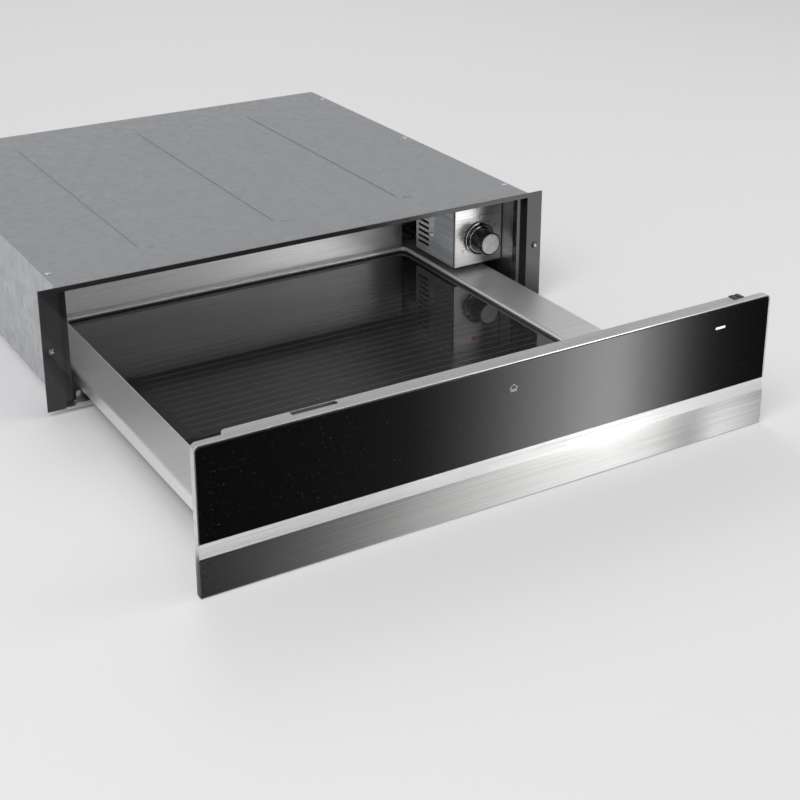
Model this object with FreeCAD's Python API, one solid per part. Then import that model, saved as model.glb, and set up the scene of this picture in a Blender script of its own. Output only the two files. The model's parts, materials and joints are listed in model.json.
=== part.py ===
import FreeCAD, Part
import math
import os

# Built-in warming drawer for crockery, shown drawn open.
# A sheet-steel housing sits in a kitchen niche and is held by screws through its front flanges.
# The drawer runs on two telescopic ball slides. Its floor is a heated glass plate.
# A control box with the temperature knob, the lamp and the warm-air blower hangs in the
# right rear of the housing, over the wide right shelf of the drawer.
#
# Frame: origin at the middle of the housing's underside, +Z up, -Y towards the user,
# +X to the user's right. Millimetres. The drawer is drawn open by open_at_rest.

# Housing
front_width = 594.0         # front panel, and the housing over its flanges
flange_width = 18.5         # flange beside each side wall
body_height = 128.5         # underside to top sheet
body_depth = 528.5          # flange face to back sheet
sheet = 1.0                 # housing sheet thickness
ceiling_drop = 9.0          # underside of the inner ceiling below the top
top_lip = 10.0              # inward lips that carry the top sheet
lip_gap = 1.0
hem_height = 2.0            # upstand at the floor's front edge
insulation_margin = 30.0
insulation_corner = 12.0
insulation_gap = 0.3

# Beads of the top sheet and vents of the back sheet
bead_spacing = 156.0
bead_width = 26.0
bead_margin = 60.0
bead_height = 0.9
back_vent_centre = 120.0
back_vent_columns = 9
back_vent_pitch = 11.0
back_vent_width = 4.0
back_vent_height = 26.0
back_vent_drop = 9.5        # below the ceiling

# Front frame of the housing
frame_sheet = 1.5
frame_step_depth = 7.0      # from the flange back to the stepped band
frame_step_width = 10.5     # width of the stepped band
frame_return = 8.0          # inner return behind the band
rail_sheet = 1.2            # top rail, thinner than the flanges
top_rail_height = 5.0

# Screws
hole_clearance = 0.2
top_screw_spacing = 222.0
top_screw_radius = 1.8
top_screw_head = 3.6
top_screw_head_height = 1.3
top_screw_length = 7.0
cabinet_screw_z = 64.0
cabinet_screw_out = 0.6     # outwards of the middle of the flange
cabinet_screw_radius = 2.0
cabinet_screw_neck = 0.1      # how much the shank widens towards its head, on the radius
cabinet_screw_length = 18.0
cabinet_screw_head = 3.8
cabinet_screw_head_height = 2.2
box_screw_radius = 1.6
box_screw_head = 3.2
box_screw_head_height = 1.4
box_screw_rise = 26.7       # above the box floor
box_screw_length = 7.0
front_screw_radius = 2.0
front_screw_head = 4.0
front_screw_head_height = 2.4
front_screw_length = 7.0
front_screw_z = 20.0
front_screw_margin = 39.0   # outer screws, in from the tray's side
front_screw_inner = 80.0
recess_width = 0.9          # cross recess in a screw head
recess_span = 3.6
recess_deep = 0.9

# Drawer front
front_drop = 6.0            # how far the front hangs below the housing
front_rise = 1.5            # how far it stands above the housing
front_edge = 8.0            # thickness of the front at its edge
glass_thickness = 4.0
glass_rim = 1.2             # light rim round the glass
glass_gap = 0.2
glass_chamfer = 0.4
bar_height = 36.5           # brushed lower bar
strip_height = 12.5         # slanted strip above the bar
strip_lean = 3.5            # how far the strip leans back at its top
bar_sheet = 1.2
bar_fold_radius = 0.7
rim_setback = 0.3           # rim behind the face of the glass
strip_gap = 0.3             # between the glass and the strip
corner_radius = 5.0
inner_front_depth = 8.5     # folded inner front behind the panel
inner_front_left = 29.0     # its ends, in from the ends of the front
inner_front_right = 39.0
inner_front_bottom = 12.0   # its lower edge above the front's lower edge
inner_front_bend = 1.2
inner_front_corner = 4.0
front_gap = 3.0             # between the shut inner front and the flange
led_inset = 61.0            # light bar, in from the right end of the front
led_drop = 21.0             # below the front's upper edge
led_length = 11.6
led_height = 2.2
led_depth = 7.0
led_gap = 0.1
led_corner = 0.5
board_sheet = 1.6
board_length = 36.0
board_height = 18.0
plug_width = 9.0
plug_reach = 4.4
guide_width = 13.0          # lead guide at the inner front's right end
guide_rise = 1.0
guide_height = 13.0
guide_setback = 0.5
guide_bore = 2.0
slot_inset = 16.0           # grip slot, in from the left edge of the recess
slot_length = 42.0
slot_width = 6.0
slot_margin = 0.6
slot_corner = 1.0

# Drawer travel
open_at_rest = 348.0        # how far the drawer stands open in this model
press_travel = 2.0          # push inwards that releases the latch

# Drawer tray
tray_side_gap = 19.5        # from the housing's side to the tray's side
tray_top = 27.5
tray_skirt = 14.8           # height of the tray with its folded edges
tray_sheet = 1.0
bend_radius = 2.5
left_shelf = 35.0           # width of the shelf left of the glass recess
right_shelf = 51.4
recess_front = 30.0         # from the face of the drawer front
recess_radius = 9.0
recess_edge = 1.6           # rounded edge between shelf and recess
recess_depth = 6.0          # shelf down to the glass
ledge = 12.0                # ledge under the glass
slide_notch_gap = 1.2       # round the slides in the tray's back fold
rear_wall_offset = 6.0      # shelf strip between recess and rear wall
rear_wall_drop = 11.5       # top of the rear wall below the ceiling
rear_wall_inset = 4.0       # its left end, in from the tray's side
rear_wall_flange = 10.0
rear_wall_bend = 1.0

# Heated floor
plate_thickness = 4.0
plate_gap = 0.4
plate_chamfer = 0.5
seal_thickness = 0.8
seal_inset = 2.0
foil_thickness = 0.5
foil_inset = 1.0
track_width = 6.0
track_height = 0.25
track_rows = 12
track_margin = 12.0
mat_back = 30.4             # mat ends before the back of the recess
mat_inset = 2.0
pan_depth = 6.2             # cover pan below the ledge
pan_side_inset = 3.0
pan_wall = 1.0
sensor_length = 20.0
sensor_width = 12.0
sensor_height = 5.0
sensor_corner = 2.0
sensor_y = 270.0
junction_inset = 42.6       # heater connector, in from the right edge of the recess
junction_width = 40.0
junction_length = 14.0
junction_gap = 4.0
junction_ways = 4
junction_bore = 1.2

# Telescopic slides
slide_low = 4.0
slide_height = 20.0
slide_thickness = 12.5
slide_inset = 3.5           # from the tray's outer face to the slide's outer face
member_sheet = 1.0
ball_radius = 1.0
ball_clearance = 0.2
ball_count = 12
outer_start = 14.0          # from the flange face
outer_back_gap = 34.5       # from the outer member to the housing's back
middle_start_shut = 57.0
middle_shorter = 61.0       # middle member shorter than the outer one
inner_start = 28.0          # from the face of the drawer front
inner_shorter = 11.0
lip_step = 2.0              # lips of the outer member stop short of the inner one's web
web_gap = 2.0               # between the webs of the outer and the middle member
inner_lip_gap = 5.5
stop_reach = 5.0
stop_sheet = 2.0
cage_length = 180.0
cage_sheet = 0.8
cage_gap = 0.6
race_inset = 5.5
outer_cage_start_shut = 150.0
inner_cage_start_shut = 178.0
middle_share = 0.5          # travel of each part for one of the drawer
outer_cage_share = 0.25
inner_cage_share = 0.75
bracket_sheet = 1.5
bracket_foot = 12.0
bracket_tab_height = 12.0
bracket_tab_start = 8.0
bracket_tab_inset = 3.0
rivet_radius = 3.0
rivet_height = 1.2
rivet_count = 4
carrier_sheet = 1.5
carrier_width = 15.0

# Control box
control_gap = 3.9           # box, to the right of the glass recess
control_front = 50.3        # from the flange face
control_depth = 84.7
control_low = 33.3
control_sheet = 1.0
control_bend = 0.8
knob_inset = 33.5           # from the box's left face
knob_rise = 31.7            # above the box floor
knob_reach = 25.0
knob_gap = 0.5
stem_radius = 11.5
skirt_radius = 20.0
skirt_height = 5.0
skirt_taper = 2.2
grip_radius = 14.5
grip_top_radius = 13.6
grip_round = 0.9
inlay_radius = 12.2
inlay_depth = 1.0
inlay_gap = 0.1
groove_width = 1.2
groove_depth = 0.3
spindle_radius = 3.0
spindle_clearance = 0.05
spindle_depth = 12.0
spindle_cover = 4.0         # grip's material over the end of the spindle
flat_length = 8.0
flat_share = 0.67
bush_radius = 5.0
bush_reach = 2.0
bush_gap = 1.0
regulator_width = 34.0
regulator_height = 32.0
regulator_depth = 22.0
regulator_corner = 3.0
lug_places = (-10.0, -3.5, 3.5, 10.0)
lug_width = 6.4
lug_sheet = 0.8
lug_length = 7.0
lamp_inset = 28.5
lamp_drop = 14.5            # below the ceiling
lamp_radius = 3.2
lamp_neck = 2.6
lamp_reach = 1.8
lamp_length = 16.0
pin_length = 5.0
pin_height = 2.0
vent_start = 56.4           # from the face of the control box
vent_length = 23.6
vent_height = 3.4
vent_pitch = 7.0
vent_low = 9.0              # first vent above the box floor
vent_top_margin = 6.0
plate_margin = 3.3          # rating plate, from the face of the box
plate_length = 41.0
plate_low = 4.7
plate_top_gap = 7.5
plate_sheet = 0.3
box_screw_gap = 5.0         # screw behind the rating plate

# Warm-air blower
blower_back = 65.0          # axis of the blower behind the control box's back
blower_gap = 2.1            # casing to the ceiling and to the box floor's level
blower_width = 34.0
blower_wall = 2.0
outlet_height = 30.0
wheel_tip_gap = 10.0
wheel_width = 22.0
wheel_gap = 3.0
inlet_lip = 7.0
blade_count = 18
blade_depth = 5.6
blade_sheet = 1.0
blade_inset = 0.4
wheel_disc = 2.0
hub_radius = 6.0
fan_shaft_radius = 2.0
fan_shaft_clearance = 0.05
fan_shaft_reach = 14.0      # into the motor
motor_radius = 19.0
motor_length = 24.0
motor_boss = 6.0
boss_gap = 0.3
blower_tab = 16.0
core_width = 42.0
core_height = 30.0
core_depth = 14.0
core_start = 4.0
heater_depth = 10.0
heater_frame = 2.0
heater_gap = 0.5
heater_rod = 1.6
heater_rods = 4
cutout_radius = 8.0
cutout_margin = 2.0
cutout_height = 6.0

# Lead gland, terminal block and wiring
gland_inset = 33.5          # from the housing's side
gland_rise = 9.0            # above the terminal block's underside
gland_bore = 4.0
gland_neck = 7.5
gland_flange = 11.0
gland_inside = 12.0
gland_collar = 4.0
gland_nut = 4.0
terminal_width = 22.0
terminal_length = 44.0
terminal_height = 24.0
terminal_back = 98.5        # front of the block, from the housing's back
terminal_drop = 53.5        # underside, below the ceiling
terminal_ways = 5
harness_radius = 3.5
harness_gap = 1.5
harness_bend = 12.0

# Push latch and rear buffers
eject_travel = 28.0
latch_width = 40.0
latch_length = 60.0
latch_height = 7.5
latch_corner = 3.0
latch_from_back = 12.0
latch_channel = 5.0
latch_wall = 1.5
latch_clearance = 0.4
plunger_tip = 3.0
plunger_length = 52.0
plunger_round = 1.5
strike_gap = 0.3
strike_width = 24.0
strike_thickness = 2.0
strike_foot = 16.0
strike_foot_sheet = 1.2
strike_low = 2.0
buffer_length = 3.1
buffer_radius = 6.0
buffer_x = 205.0
buffer_z = 20.0
buffer_gap = 0.5

# Derived places of the housing
face_y = -body_depth / 2.0
back_y = body_depth / 2.0
front_x = front_width / 2.0
side_x = front_x - flange_width
step_x = side_x - frame_step_width
ceiling_height = body_height - ceiling_drop
vent_field_low = ceiling_height - back_vent_drop - back_vent_height
cabinet_screw_x = (front_x + side_x) / 2.0 + cabinet_screw_out
terminal_low = ceiling_height - terminal_drop
terminal_start = body_depth - terminal_back
gland_x = side_x - gland_inset
gland_z = terminal_low + gland_rise
harness_x = side_x - sheet - harness_radius - harness_gap
harness_z = ceiling_height - harness_radius - harness_gap

# Derived places of the drawer front
front_low = -front_drop
front_top = body_height + front_rise
shut_front_y = face_y - front_gap - inner_front_depth - front_edge
front_y = shut_front_y - open_at_rest
inner_back = front_edge + inner_front_depth
strip_low = front_low + bar_height
glass_low_edge = strip_low + strip_height
led_x = front_x - led_inset
led_z = front_top - led_drop

# Derived places of the tray and its floor
tray_half_width = side_x - tray_side_gap
tray_low = tray_top - tray_skirt
shelf_low = tray_top - tray_sheet
recess_left = tray_half_width - left_shelf
recess_right = tray_half_width - right_shelf
glass_top = tray_top - recess_depth
glass_low = glass_top - plate_thickness
ledge_top = glass_low - seal_thickness
ledge_low = ledge_top - tray_sheet
pan_low = ledge_low - pan_depth
tray_back = back_y - sheet - buffer_length - buffer_gap - press_travel - shut_front_y
wall_front = tray_back - rear_wall_flange - tray_sheet
recess_back = wall_front - rear_wall_offset
rear_wall_top = ceiling_height - rear_wall_drop
rear_wall_left = tray_half_width - rear_wall_inset
rear_wall_right = recess_right + plate_gap
junction_x = recess_right - junction_inset
mat_end = recess_back - mat_back
front_screw_outer = tray_half_width - front_screw_margin
front_screw_places = (-front_screw_outer, -front_screw_inner, front_screw_inner, front_screw_outer)

# Derived places of the slides
slide_out = tray_half_width - slide_inset
slide_in = slide_out - slide_thickness
outer_length = body_depth - outer_start - outer_back_gap
middle_length = outer_length - middle_shorter
inner_length = outer_length - inner_shorter
ball_track = 2.0 * (ball_radius + ball_clearance)

# Derived places of the control box and the blower
control_left = recess_right + control_gap
knob_x = control_left + knob_inset
knob_z = control_low + knob_rise
lamp_x = control_left + lamp_inset
lamp_z = ceiling_height - lamp_drop
plate_height = ceiling_height - control_low - plate_low - plate_top_gap
vent_count = int((ceiling_height - control_low - vent_low - vent_top_margin) / vent_pitch)
box_screw_z = control_low + box_screw_rise
blower_y = face_y + control_front + control_depth + blower_back
blower_z = (control_low + ceiling_height) / 2.0
blower_radius = (ceiling_height - control_low) / 2.0 - blower_gap
wheel_radius = blower_radius - wheel_tip_gap
inlet_radius = wheel_radius - inlet_lip
outlet_left = control_left + control_sheet + blower_wall
outlet_right = control_left + control_sheet + blower_width - blower_wall
outlet_low = blower_z + blower_radius - outlet_height
outlet_high = blower_z + blower_radius - blower_wall
latch_face = back_y - sheet - latch_from_back - latch_length


def drawer(y):
    """Y of a place on the drawer, measured back from the face of its front."""
    return front_y + y


def body(y):
    """Y of a place on the housing, measured back from the flange face."""
    return face_y + y


def box(x0, x1, y0, y1, z0, z1):
    """Box between two corners."""
    corner = FreeCAD.Vector(min(x0, x1), min(y0, y1), min(z0, z1))
    return Part.makeBox(abs(x1 - x0), abs(y1 - y0), abs(z1 - z0), corner)


def rod(radius, start, direction, length):
    """Cylinder from a start point along a direction."""
    return Part.makeCylinder(radius, length, FreeCAD.Vector(*start), FreeCAD.Vector(*direction))


def cone(radius_start, radius_end, start, direction, length):
    """Cone frustum from a start point along a direction."""
    return Part.makeCone(radius_start, radius_end, length, FreeCAD.Vector(*start), FreeCAD.Vector(*direction))


def rounded_block(x0, x1, y0, y1, z0, z1, radius):
    """Box whose upright edges are rounded."""
    block = box(x0, x1, y0, y1, z0, z1)
    upright = [e for e in block.Edges if abs(e.Vertexes[0].Z - e.Vertexes[-1].Z) > 1e-6]
    return block.makeFillet(radius, upright)


def mirrored(shape):
    """The same shape on the other side of the middle plane."""
    return shape.mirror(FreeCAD.Vector(0, 0, 0), FreeCAD.Vector(1, 0, 0))


def prism_x(points, x0, x1):
    """Section given as (y, z) points, drawn out along X."""
    loop = [FreeCAD.Vector(x0, y, z) for y, z in points]
    face = Part.Face(Part.makePolygon(loop + loop[:1]))
    return face.extrude(FreeCAD.Vector(x1 - x0, 0, 0))


def fused(shapes):
    """One solid out of pieces that touch or overlap."""
    whole = shapes[0].multiFuse(shapes[1:]) if len(shapes) > 1 else shapes[0]
    return whole.removeSplitter()


def long_edges(shape, axis, test):
    """Edges that run along one axis and pass a test on their middle point."""
    found = []
    for edge in shape.Edges:
        first, last = edge.Vertexes[0].Point, edge.Vertexes[-1].Point
        run = last - first
        along = abs(getattr(run, axis))
        if along > 1.0 and abs(along - run.Length) < 1e-6 and test(edge.CenterOfMass):
            found.append(edge)
    return found


def save(name, shape):
    """Write one node as parts/NAME.step."""
    if not shape.isValid():
        raise ValueError(name + " is not a valid shape")
    shape.exportStep("parts/" + name + ".step")
    print(name, len(shape.Solids), round(shape.Volume))


os.makedirs("parts", exist_ok=True)


# Housing

def housing_base():
    """Floor sheet with its two side walls and the inward lips that carry the top sheet."""
    wall_front_y = body(frame_step_depth + frame_sheet)
    wall_top = body_height - sheet
    pieces = [box(-side_x, side_x, face_y, back_y, 0, sheet)]
    hem = box(-step_x, step_x, face_y, face_y + sheet, sheet, sheet + hem_height)
    pieces.append(hem)
    for side in (-1, 1):
        pieces.append(box(side * (side_x - sheet), side * side_x, wall_front_y, back_y - sheet, sheet,
                          wall_top))
        lip_front = body(frame_step_depth + frame_return)
        pieces.append(box(side * (side_x - sheet - top_lip), side * (side_x - sheet),
                          lip_front, back_y - sheet, wall_top - sheet, wall_top))
    whole = fused(pieces)
    screw_holes = [rod(top_screw_radius + hole_clearance, (x, y, wall_top - 2 * sheet), (0, 0, 1), 3 * sheet)
                   for x, y in top_screw_places()]
    return whole.cut(Part.makeCompound(screw_holes))


def top_screw_places():
    """Six screws along the two lips that hold the top sheet."""
    x = side_x - sheet - top_lip / 2.0
    return [(side * x, y) for side in (-1, 1) for y in (-top_screw_spacing, 0.0, top_screw_spacing)]


def housing_top():
    """Top sheet with three pressed beads that stiffen it."""
    plate = box(-side_x, side_x, face_y + rail_sheet, back_y, body_height - sheet, body_height)
    beads = []
    for x in (-bead_spacing, 0.0, bead_spacing):
        bead = rounded_block(x - bead_width / 2.0, x + bead_width / 2.0, face_y + bead_margin,
                             back_y - bead_margin, body_height, body_height + bead_height, bead_width / 2.2)
        beads.append(bead)
    holes = [rod(top_screw_radius + hole_clearance, (x, y, body_height - 2 * sheet), (0, 0, 1), 4 * sheet)
             for x, y in top_screw_places()]
    return fused([plate] + beads).cut(Part.makeCompound(holes))


def top_screws():
    """Pan-head screws of the top sheet."""
    screws = []
    for x, y in top_screw_places():
        head = rod(top_screw_head, (x, y, body_height), (0, 0, 1), top_screw_head_height)
        rim = [e for e in head.Edges if abs(e.CenterOfMass.z - body_height - top_screw_head_height) < 1e-6
               and e.Length > top_screw_head]
        head = head.makeFillet(top_screw_head_height * 0.4, rim)
        shank = rod(top_screw_radius, (x, y, body_height - top_screw_length), (0, 0, 1), top_screw_length)
        z_cross = body_height + top_screw_head_height - recess_deep
        screw = fused([head, shank])
        for dx, dy in ((recess_span, recess_width), (recess_width, recess_span)):
            screw = screw.cut(box(x - dx / 2.0, x + dx / 2.0, y - dy / 2.0, y + dy / 2.0, z_cross,
                                  z_cross + 2.0 * recess_deep))
        screws.append(screw)
    return Part.makeCompound(screws)


def housing_back():
    """Back sheet with two fields of vent slots and the hole for the lead gland."""
    plate = box(-side_x, side_x, back_y - sheet, back_y, sheet, body_height - sheet)
    cuts = [rod(gland_neck + hole_clearance, (gland_x, back_y - 3 * sheet, gland_z), (0, 1, 0), 5 * sheet)]
    for centre in (-back_vent_centre, back_vent_centre):
        for i in range(back_vent_columns):
            x = centre + (i - (back_vent_columns - 1) / 2.0) * back_vent_pitch
            cuts.append(box(x - back_vent_width / 2.0, x + back_vent_width / 2.0, back_y - 3 * sheet,
                            back_y + 2 * sheet, vent_field_low, vent_field_low + back_vent_height))
    return plate.cut(Part.makeCompound(cuts))


def inner_ceiling():
    """Ceiling sheet over the drawer, below the insulation."""
    front = body(frame_step_depth + frame_return)
    plate = box(-(side_x - sheet), side_x - sheet, front, back_y - sheet, ceiling_height,
                ceiling_height + sheet)
    return plate


def top_insulation():
    """Mineral-wool mat between the ceiling and the top sheet."""
    lip_inner = side_x - sheet - top_lip - lip_gap
    return rounded_block(-lip_inner, lip_inner, body(insulation_margin), back_y - insulation_margin,
                         ceiling_height + sheet, body_height - sheet - insulation_gap, insulation_corner)


def front_frame():
    """Glossy stepped frame: side flanges with screw holes, stepped bands, inner returns and top rail."""
    rail_low = body_height - top_rail_height
    post_top = rail_low + sheet
    pieces = [box(-side_x, side_x, face_y, face_y + rail_sheet, rail_low, body_height)]
    step_y = body(frame_step_depth)
    pieces.append(box(-step_x, step_x, face_y, body(frame_step_depth + frame_return),
                      rail_low, rail_low + frame_sheet))
    for side in (-1, 1):
        outer = side * front_x
        wall = side * side_x
        pieces.append(box(wall, outer, face_y, face_y + frame_sheet, 0, body_height))
        pieces.append(box(side * (side_x - frame_sheet), wall, face_y, step_y + frame_sheet, sheet, post_top))
        pieces.append(box(side * step_x, wall, step_y, step_y + frame_sheet, sheet, post_top))
        pieces.append(box(side * step_x, side * (step_x + frame_sheet), step_y,
                          body(frame_step_depth + frame_return), sheet, post_top))
    whole = fused(pieces)
    holes = [rod(cabinet_screw_radius + hole_clearance, (x, face_y - sheet, cabinet_screw_z), (0, 1, 0),
                 frame_sheet + 2 * sheet)
             for x in (-cabinet_screw_x, cabinet_screw_x)]
    return whole.cut(Part.makeCompound(holes))


def cabinet_screws():
    """Two screws through the flanges into the edges of the cabinet sides."""
    screws = []
    for side in (-1, 1):
        x = side * cabinet_screw_x
        head = cone(cabinet_screw_head * 0.72, cabinet_screw_head,
                    (x, face_y - cabinet_screw_head_height, cabinet_screw_z), (0, 1, 0),
                    cabinet_screw_head_height)
        shank = rod(cabinet_screw_radius, (x, face_y, cabinet_screw_z), (0, 1, 0), cabinet_screw_length)
        neck = cone(cabinet_screw_radius + cabinet_screw_neck, cabinet_screw_radius,
                    (x, face_y, cabinet_screw_z), (0, 1, 0), frame_sheet)
        y_cross = face_y - cabinet_screw_head_height + recess_deep
        screw = fused([head, neck, shank])
        for dx, dz in ((recess_span, recess_width), (recess_width, recess_span)):
            screw = screw.cut(box(x - dx / 2.0, x + dx / 2.0, y_cross - 2.0 * recess_deep, y_cross,
                                  cabinet_screw_z - dz / 2.0, cabinet_screw_z + dz / 2.0))
        screws.append(screw)
    return Part.makeCompound(screws)


save("housing_base", housing_base())
save("housing_top", housing_top())
save("top_screws", top_screws())
save("housing_back", housing_back())
save("inner_ceiling", inner_ceiling())
save("top_insulation", top_insulation())
save("front_frame", front_frame())
save("cabinet_screws", cabinet_screws())


# Lead gland and terminal block: the supply lead itself is not part of the model

def lead_gland():
    """Bush in the back sheet for the supply lead."""
    inside = rod(gland_neck, (gland_x, back_y - sheet - gland_inside, gland_z), (0, 1, 0),
                 gland_inside + sheet)
    collar = rod(gland_flange, (gland_x, back_y, gland_z), (0, 1, 0), gland_collar)
    edge = [e for e in collar.Edges if abs(e.CenterOfMass.y - back_y - gland_collar) < 1e-6
            and e.Length > gland_flange]
    collar = collar.makeFillet(gland_collar * 0.4, edge)
    nut = rod(gland_flange - sheet, (gland_x, back_y - sheet - gland_nut, gland_z), (0, 1, 0), gland_nut)
    whole = fused([inside, collar, nut])
    bore = rod(gland_bore, (gland_x, back_y - sheet - gland_inside - sheet, gland_z), (0, 1, 0),
               2.0 * (gland_inside + gland_collar))
    return whole.cut(bore)


def terminal_block():
    """Five-way terminal block on the right side wall."""
    x1 = side_x - sheet
    x0 = x1 - terminal_width
    y0 = body(terminal_start)
    block = box(x0, x1, y0, y0 + terminal_length, terminal_low, terminal_low + terminal_height)
    pitch = terminal_length / terminal_ways
    cuts = []
    for i in range(terminal_ways):
        y = y0 + pitch * (i + 0.5)
        cuts.append(rod(pitch * 0.28, (x0 - sheet, y, terminal_low + terminal_height * 0.7), (1, 0, 0), 8.0))
        cuts.append(rod(pitch * 0.2, (x0 + terminal_width * 0.55, y, terminal_low + terminal_height - 6.0),
                        (0, 0, 1), 8.0))
    for i in range(1, terminal_ways):
        y = y0 + pitch * i
        cuts.append(box(x0 - sheet, x0 + 3.0, y - 0.5, y + 0.5, terminal_low + 4.0,
                        terminal_low + terminal_height + sheet))
    return block.cut(Part.makeCompound(cuts))


def rating_plate():
    """Bare metal plate on the left face of the control box."""
    x1 = control_left
    y0 = body(control_front + plate_margin)
    return box(x1 - plate_sheet, x1, y0, y0 + plate_length, control_low + plate_low,
               control_low + plate_low + plate_height)


save("lead_gland", lead_gland())
save("terminal_block", terminal_block())
save("rating_plate", rating_plate())


# Control box over the right shelf

def control_box():
    """Folded steel box with the vents in its left face, open at the top under the ceiling."""
    x0, x1 = control_left, side_x - sheet
    y0, y1 = body(control_front), body(control_front + control_depth)
    z0, z1 = control_low, ceiling_height
    t = control_sheet
    outer = box(x0, x1, y0, y1, z0, z1)
    front_edges = long_edges(outer, "z", lambda p: p.y < y0 + t and p.x < x0 + t)
    front_edges += long_edges(outer, "x", lambda p: p.y < y0 + t and p.z < z0 + t)
    outer = outer.makeFillet(control_bend, front_edges)
    whole = outer.cut(box(x0 + t, x1 - t, y0 + t, y1 - t, z0 + t, z1 + t))
    cuts = [rod(bush_radius + hole_clearance, (knob_x, y0 - t, knob_z), (0, 1, 0), 3 * t),
            rod(lamp_neck + hole_clearance, (lamp_x, y0 - t, lamp_z), (0, 1, 0), 3 * t),
            rod(box_screw_radius + hole_clearance, (x0 - t, box_screw_y(), box_screw_z), (1, 0, 0), 3 * t),
            box(outlet_left, outlet_right, y1 - 2 * t, y1 + t, outlet_low, outlet_high),
            rod(harness_radius + hole_clearance, (harness_x, y1 - 2 * t, harness_z), (0, 1, 0), 3 * t)]
    for i in range(vent_count):
        z = control_low + vent_low + i * vent_pitch
        slot = box(x0 - t, x0 + 2 * t, y0 + vent_start, y0 + vent_start + vent_length, z, z + vent_height)
        cuts.append(slot)
    return whole.cut(Part.makeCompound(cuts))


def box_screw_y():
    """Screw between the plate and the vents."""
    return body(control_front + plate_margin + plate_length + box_screw_gap)


def control_box_screw():
    """Pan-head screw in the left face of the control box."""
    y = box_screw_y()
    x0 = control_left - box_screw_head_height
    head = rod(box_screw_head, (x0, y, box_screw_z), (1, 0, 0), box_screw_head_height)
    rim = [e for e in head.Edges if abs(e.CenterOfMass.x - x0) < 1e-6 and e.Length > box_screw_head]
    head = head.makeFillet(box_screw_head_height * 0.4, rim)
    shank = rod(box_screw_radius, (control_left, y, box_screw_z), (1, 0, 0), box_screw_length)
    slot = box(x0 - sheet, x0 + box_screw_head_height * 0.5, y - recess_span / 2.0, y + recess_span / 2.0,
               box_screw_z - recess_width / 2.0, box_screw_z + recess_width / 2.0)
    return fused([head, shank]).cut(slot)


def regulator():
    """Temperature regulator behind the face of the box, with its threaded bush."""
    y0 = body(control_front + control_sheet)
    half_width, half_height = regulator_width / 2.0, regulator_height / 2.0
    case = rounded_block(knob_x - half_width, knob_x + half_width, y0, y0 + regulator_depth,
                         knob_z - half_height, knob_z + half_height, regulator_corner)
    bush = rod(bush_radius, (knob_x, y0 - control_sheet - bush_reach, knob_z), (0, 1, 0),
               control_sheet + bush_reach)
    y1 = y0 + regulator_depth
    lugs = [box(knob_x + dx - lug_sheet / 2.0, knob_x + dx + lug_sheet / 2.0, y1, y1 + lug_length,
                knob_z - lug_width / 2.0, knob_z + lug_width / 2.0) for dx in lug_places]
    whole = fused([case, bush] + lugs)
    bore = rod(spindle_radius + spindle_clearance, (knob_x, y0 - knob_reach, knob_z), (0, 1, 0),
               knob_reach + spindle_depth)
    return whole.cut(bore)


def indicator_lamp():
    """Red lamp: domed lens and the neck that clips into the box."""
    y0 = body(control_front)
    dome = Part.makeSphere(lamp_radius, FreeCAD.Vector(lamp_x, y0, lamp_z))
    r = lamp_radius
    dome = dome.common(box(lamp_x - r, lamp_x + r, y0 - lamp_reach, y0, lamp_z - r, lamp_z + r))
    neck = rod(lamp_neck, (lamp_x, y0, lamp_z), (0, 1, 0), lamp_length)
    pins = [box(lamp_x + dx - lug_sheet / 2.0, lamp_x + dx + lug_sheet / 2.0, y0 + lamp_length,
                y0 + lamp_length + pin_length, lamp_z - pin_height / 2.0, lamp_z + pin_height / 2.0)
            for dx in (-lamp_neck / 2.0, lamp_neck / 2.0)]
    return fused([dome, neck] + pins)


def knob_spindle():
    """Steel spindle from the regulator into the knob."""
    y_tip = body(control_front - knob_reach + spindle_cover)
    y_end = body(control_front + control_sheet + spindle_depth - knob_gap)
    shaft = rod(spindle_radius, (knob_x, y_tip, knob_z), (0, 1, 0), y_end - y_tip)
    return shaft.cut(spindle_flat(y_tip))


def spindle_flat(y_tip):
    """Block over the flat that keys the knob to its spindle."""
    r = spindle_radius
    return box(knob_x - 2.0 * r, knob_x + 2.0 * r, y_tip - sheet, y_tip + flat_length,
               knob_z + r * flat_share, knob_z + 2.0 * r)


def knob_grip():
    """Tapered black grip with a pocket for the inlay."""
    y_tip = body(control_front - knob_reach)
    y_root = body(control_front - knob_gap - skirt_height)
    length = y_root - y_tip
    grip = cone(grip_top_radius, grip_radius, (knob_x, y_tip, knob_z), (0, 1, 0), length)
    rim = [e for e in grip.Edges if abs(e.CenterOfMass.y - y_tip) < 1e-6 and e.Length > grip_radius]
    grip = grip.makeFillet(grip_round, rim)
    y_stem = body(control_front - bush_reach - knob_gap)
    stem = rod(stem_radius, (knob_x, y_root, knob_z), (0, 1, 0), y_stem - y_root)
    whole = fused([grip, stem])
    pocket = rod(inlay_radius + inlay_gap, (knob_x, y_tip - sheet, knob_z), (0, 1, 0), sheet + inlay_depth)
    y_hole = y_tip + spindle_cover
    hole = rod(spindle_radius, (knob_x, y_hole, knob_z), (0, 1, 0), knob_reach)
    return whole.cut(pocket).cut(hole.cut(spindle_flat(y_hole)))


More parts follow.
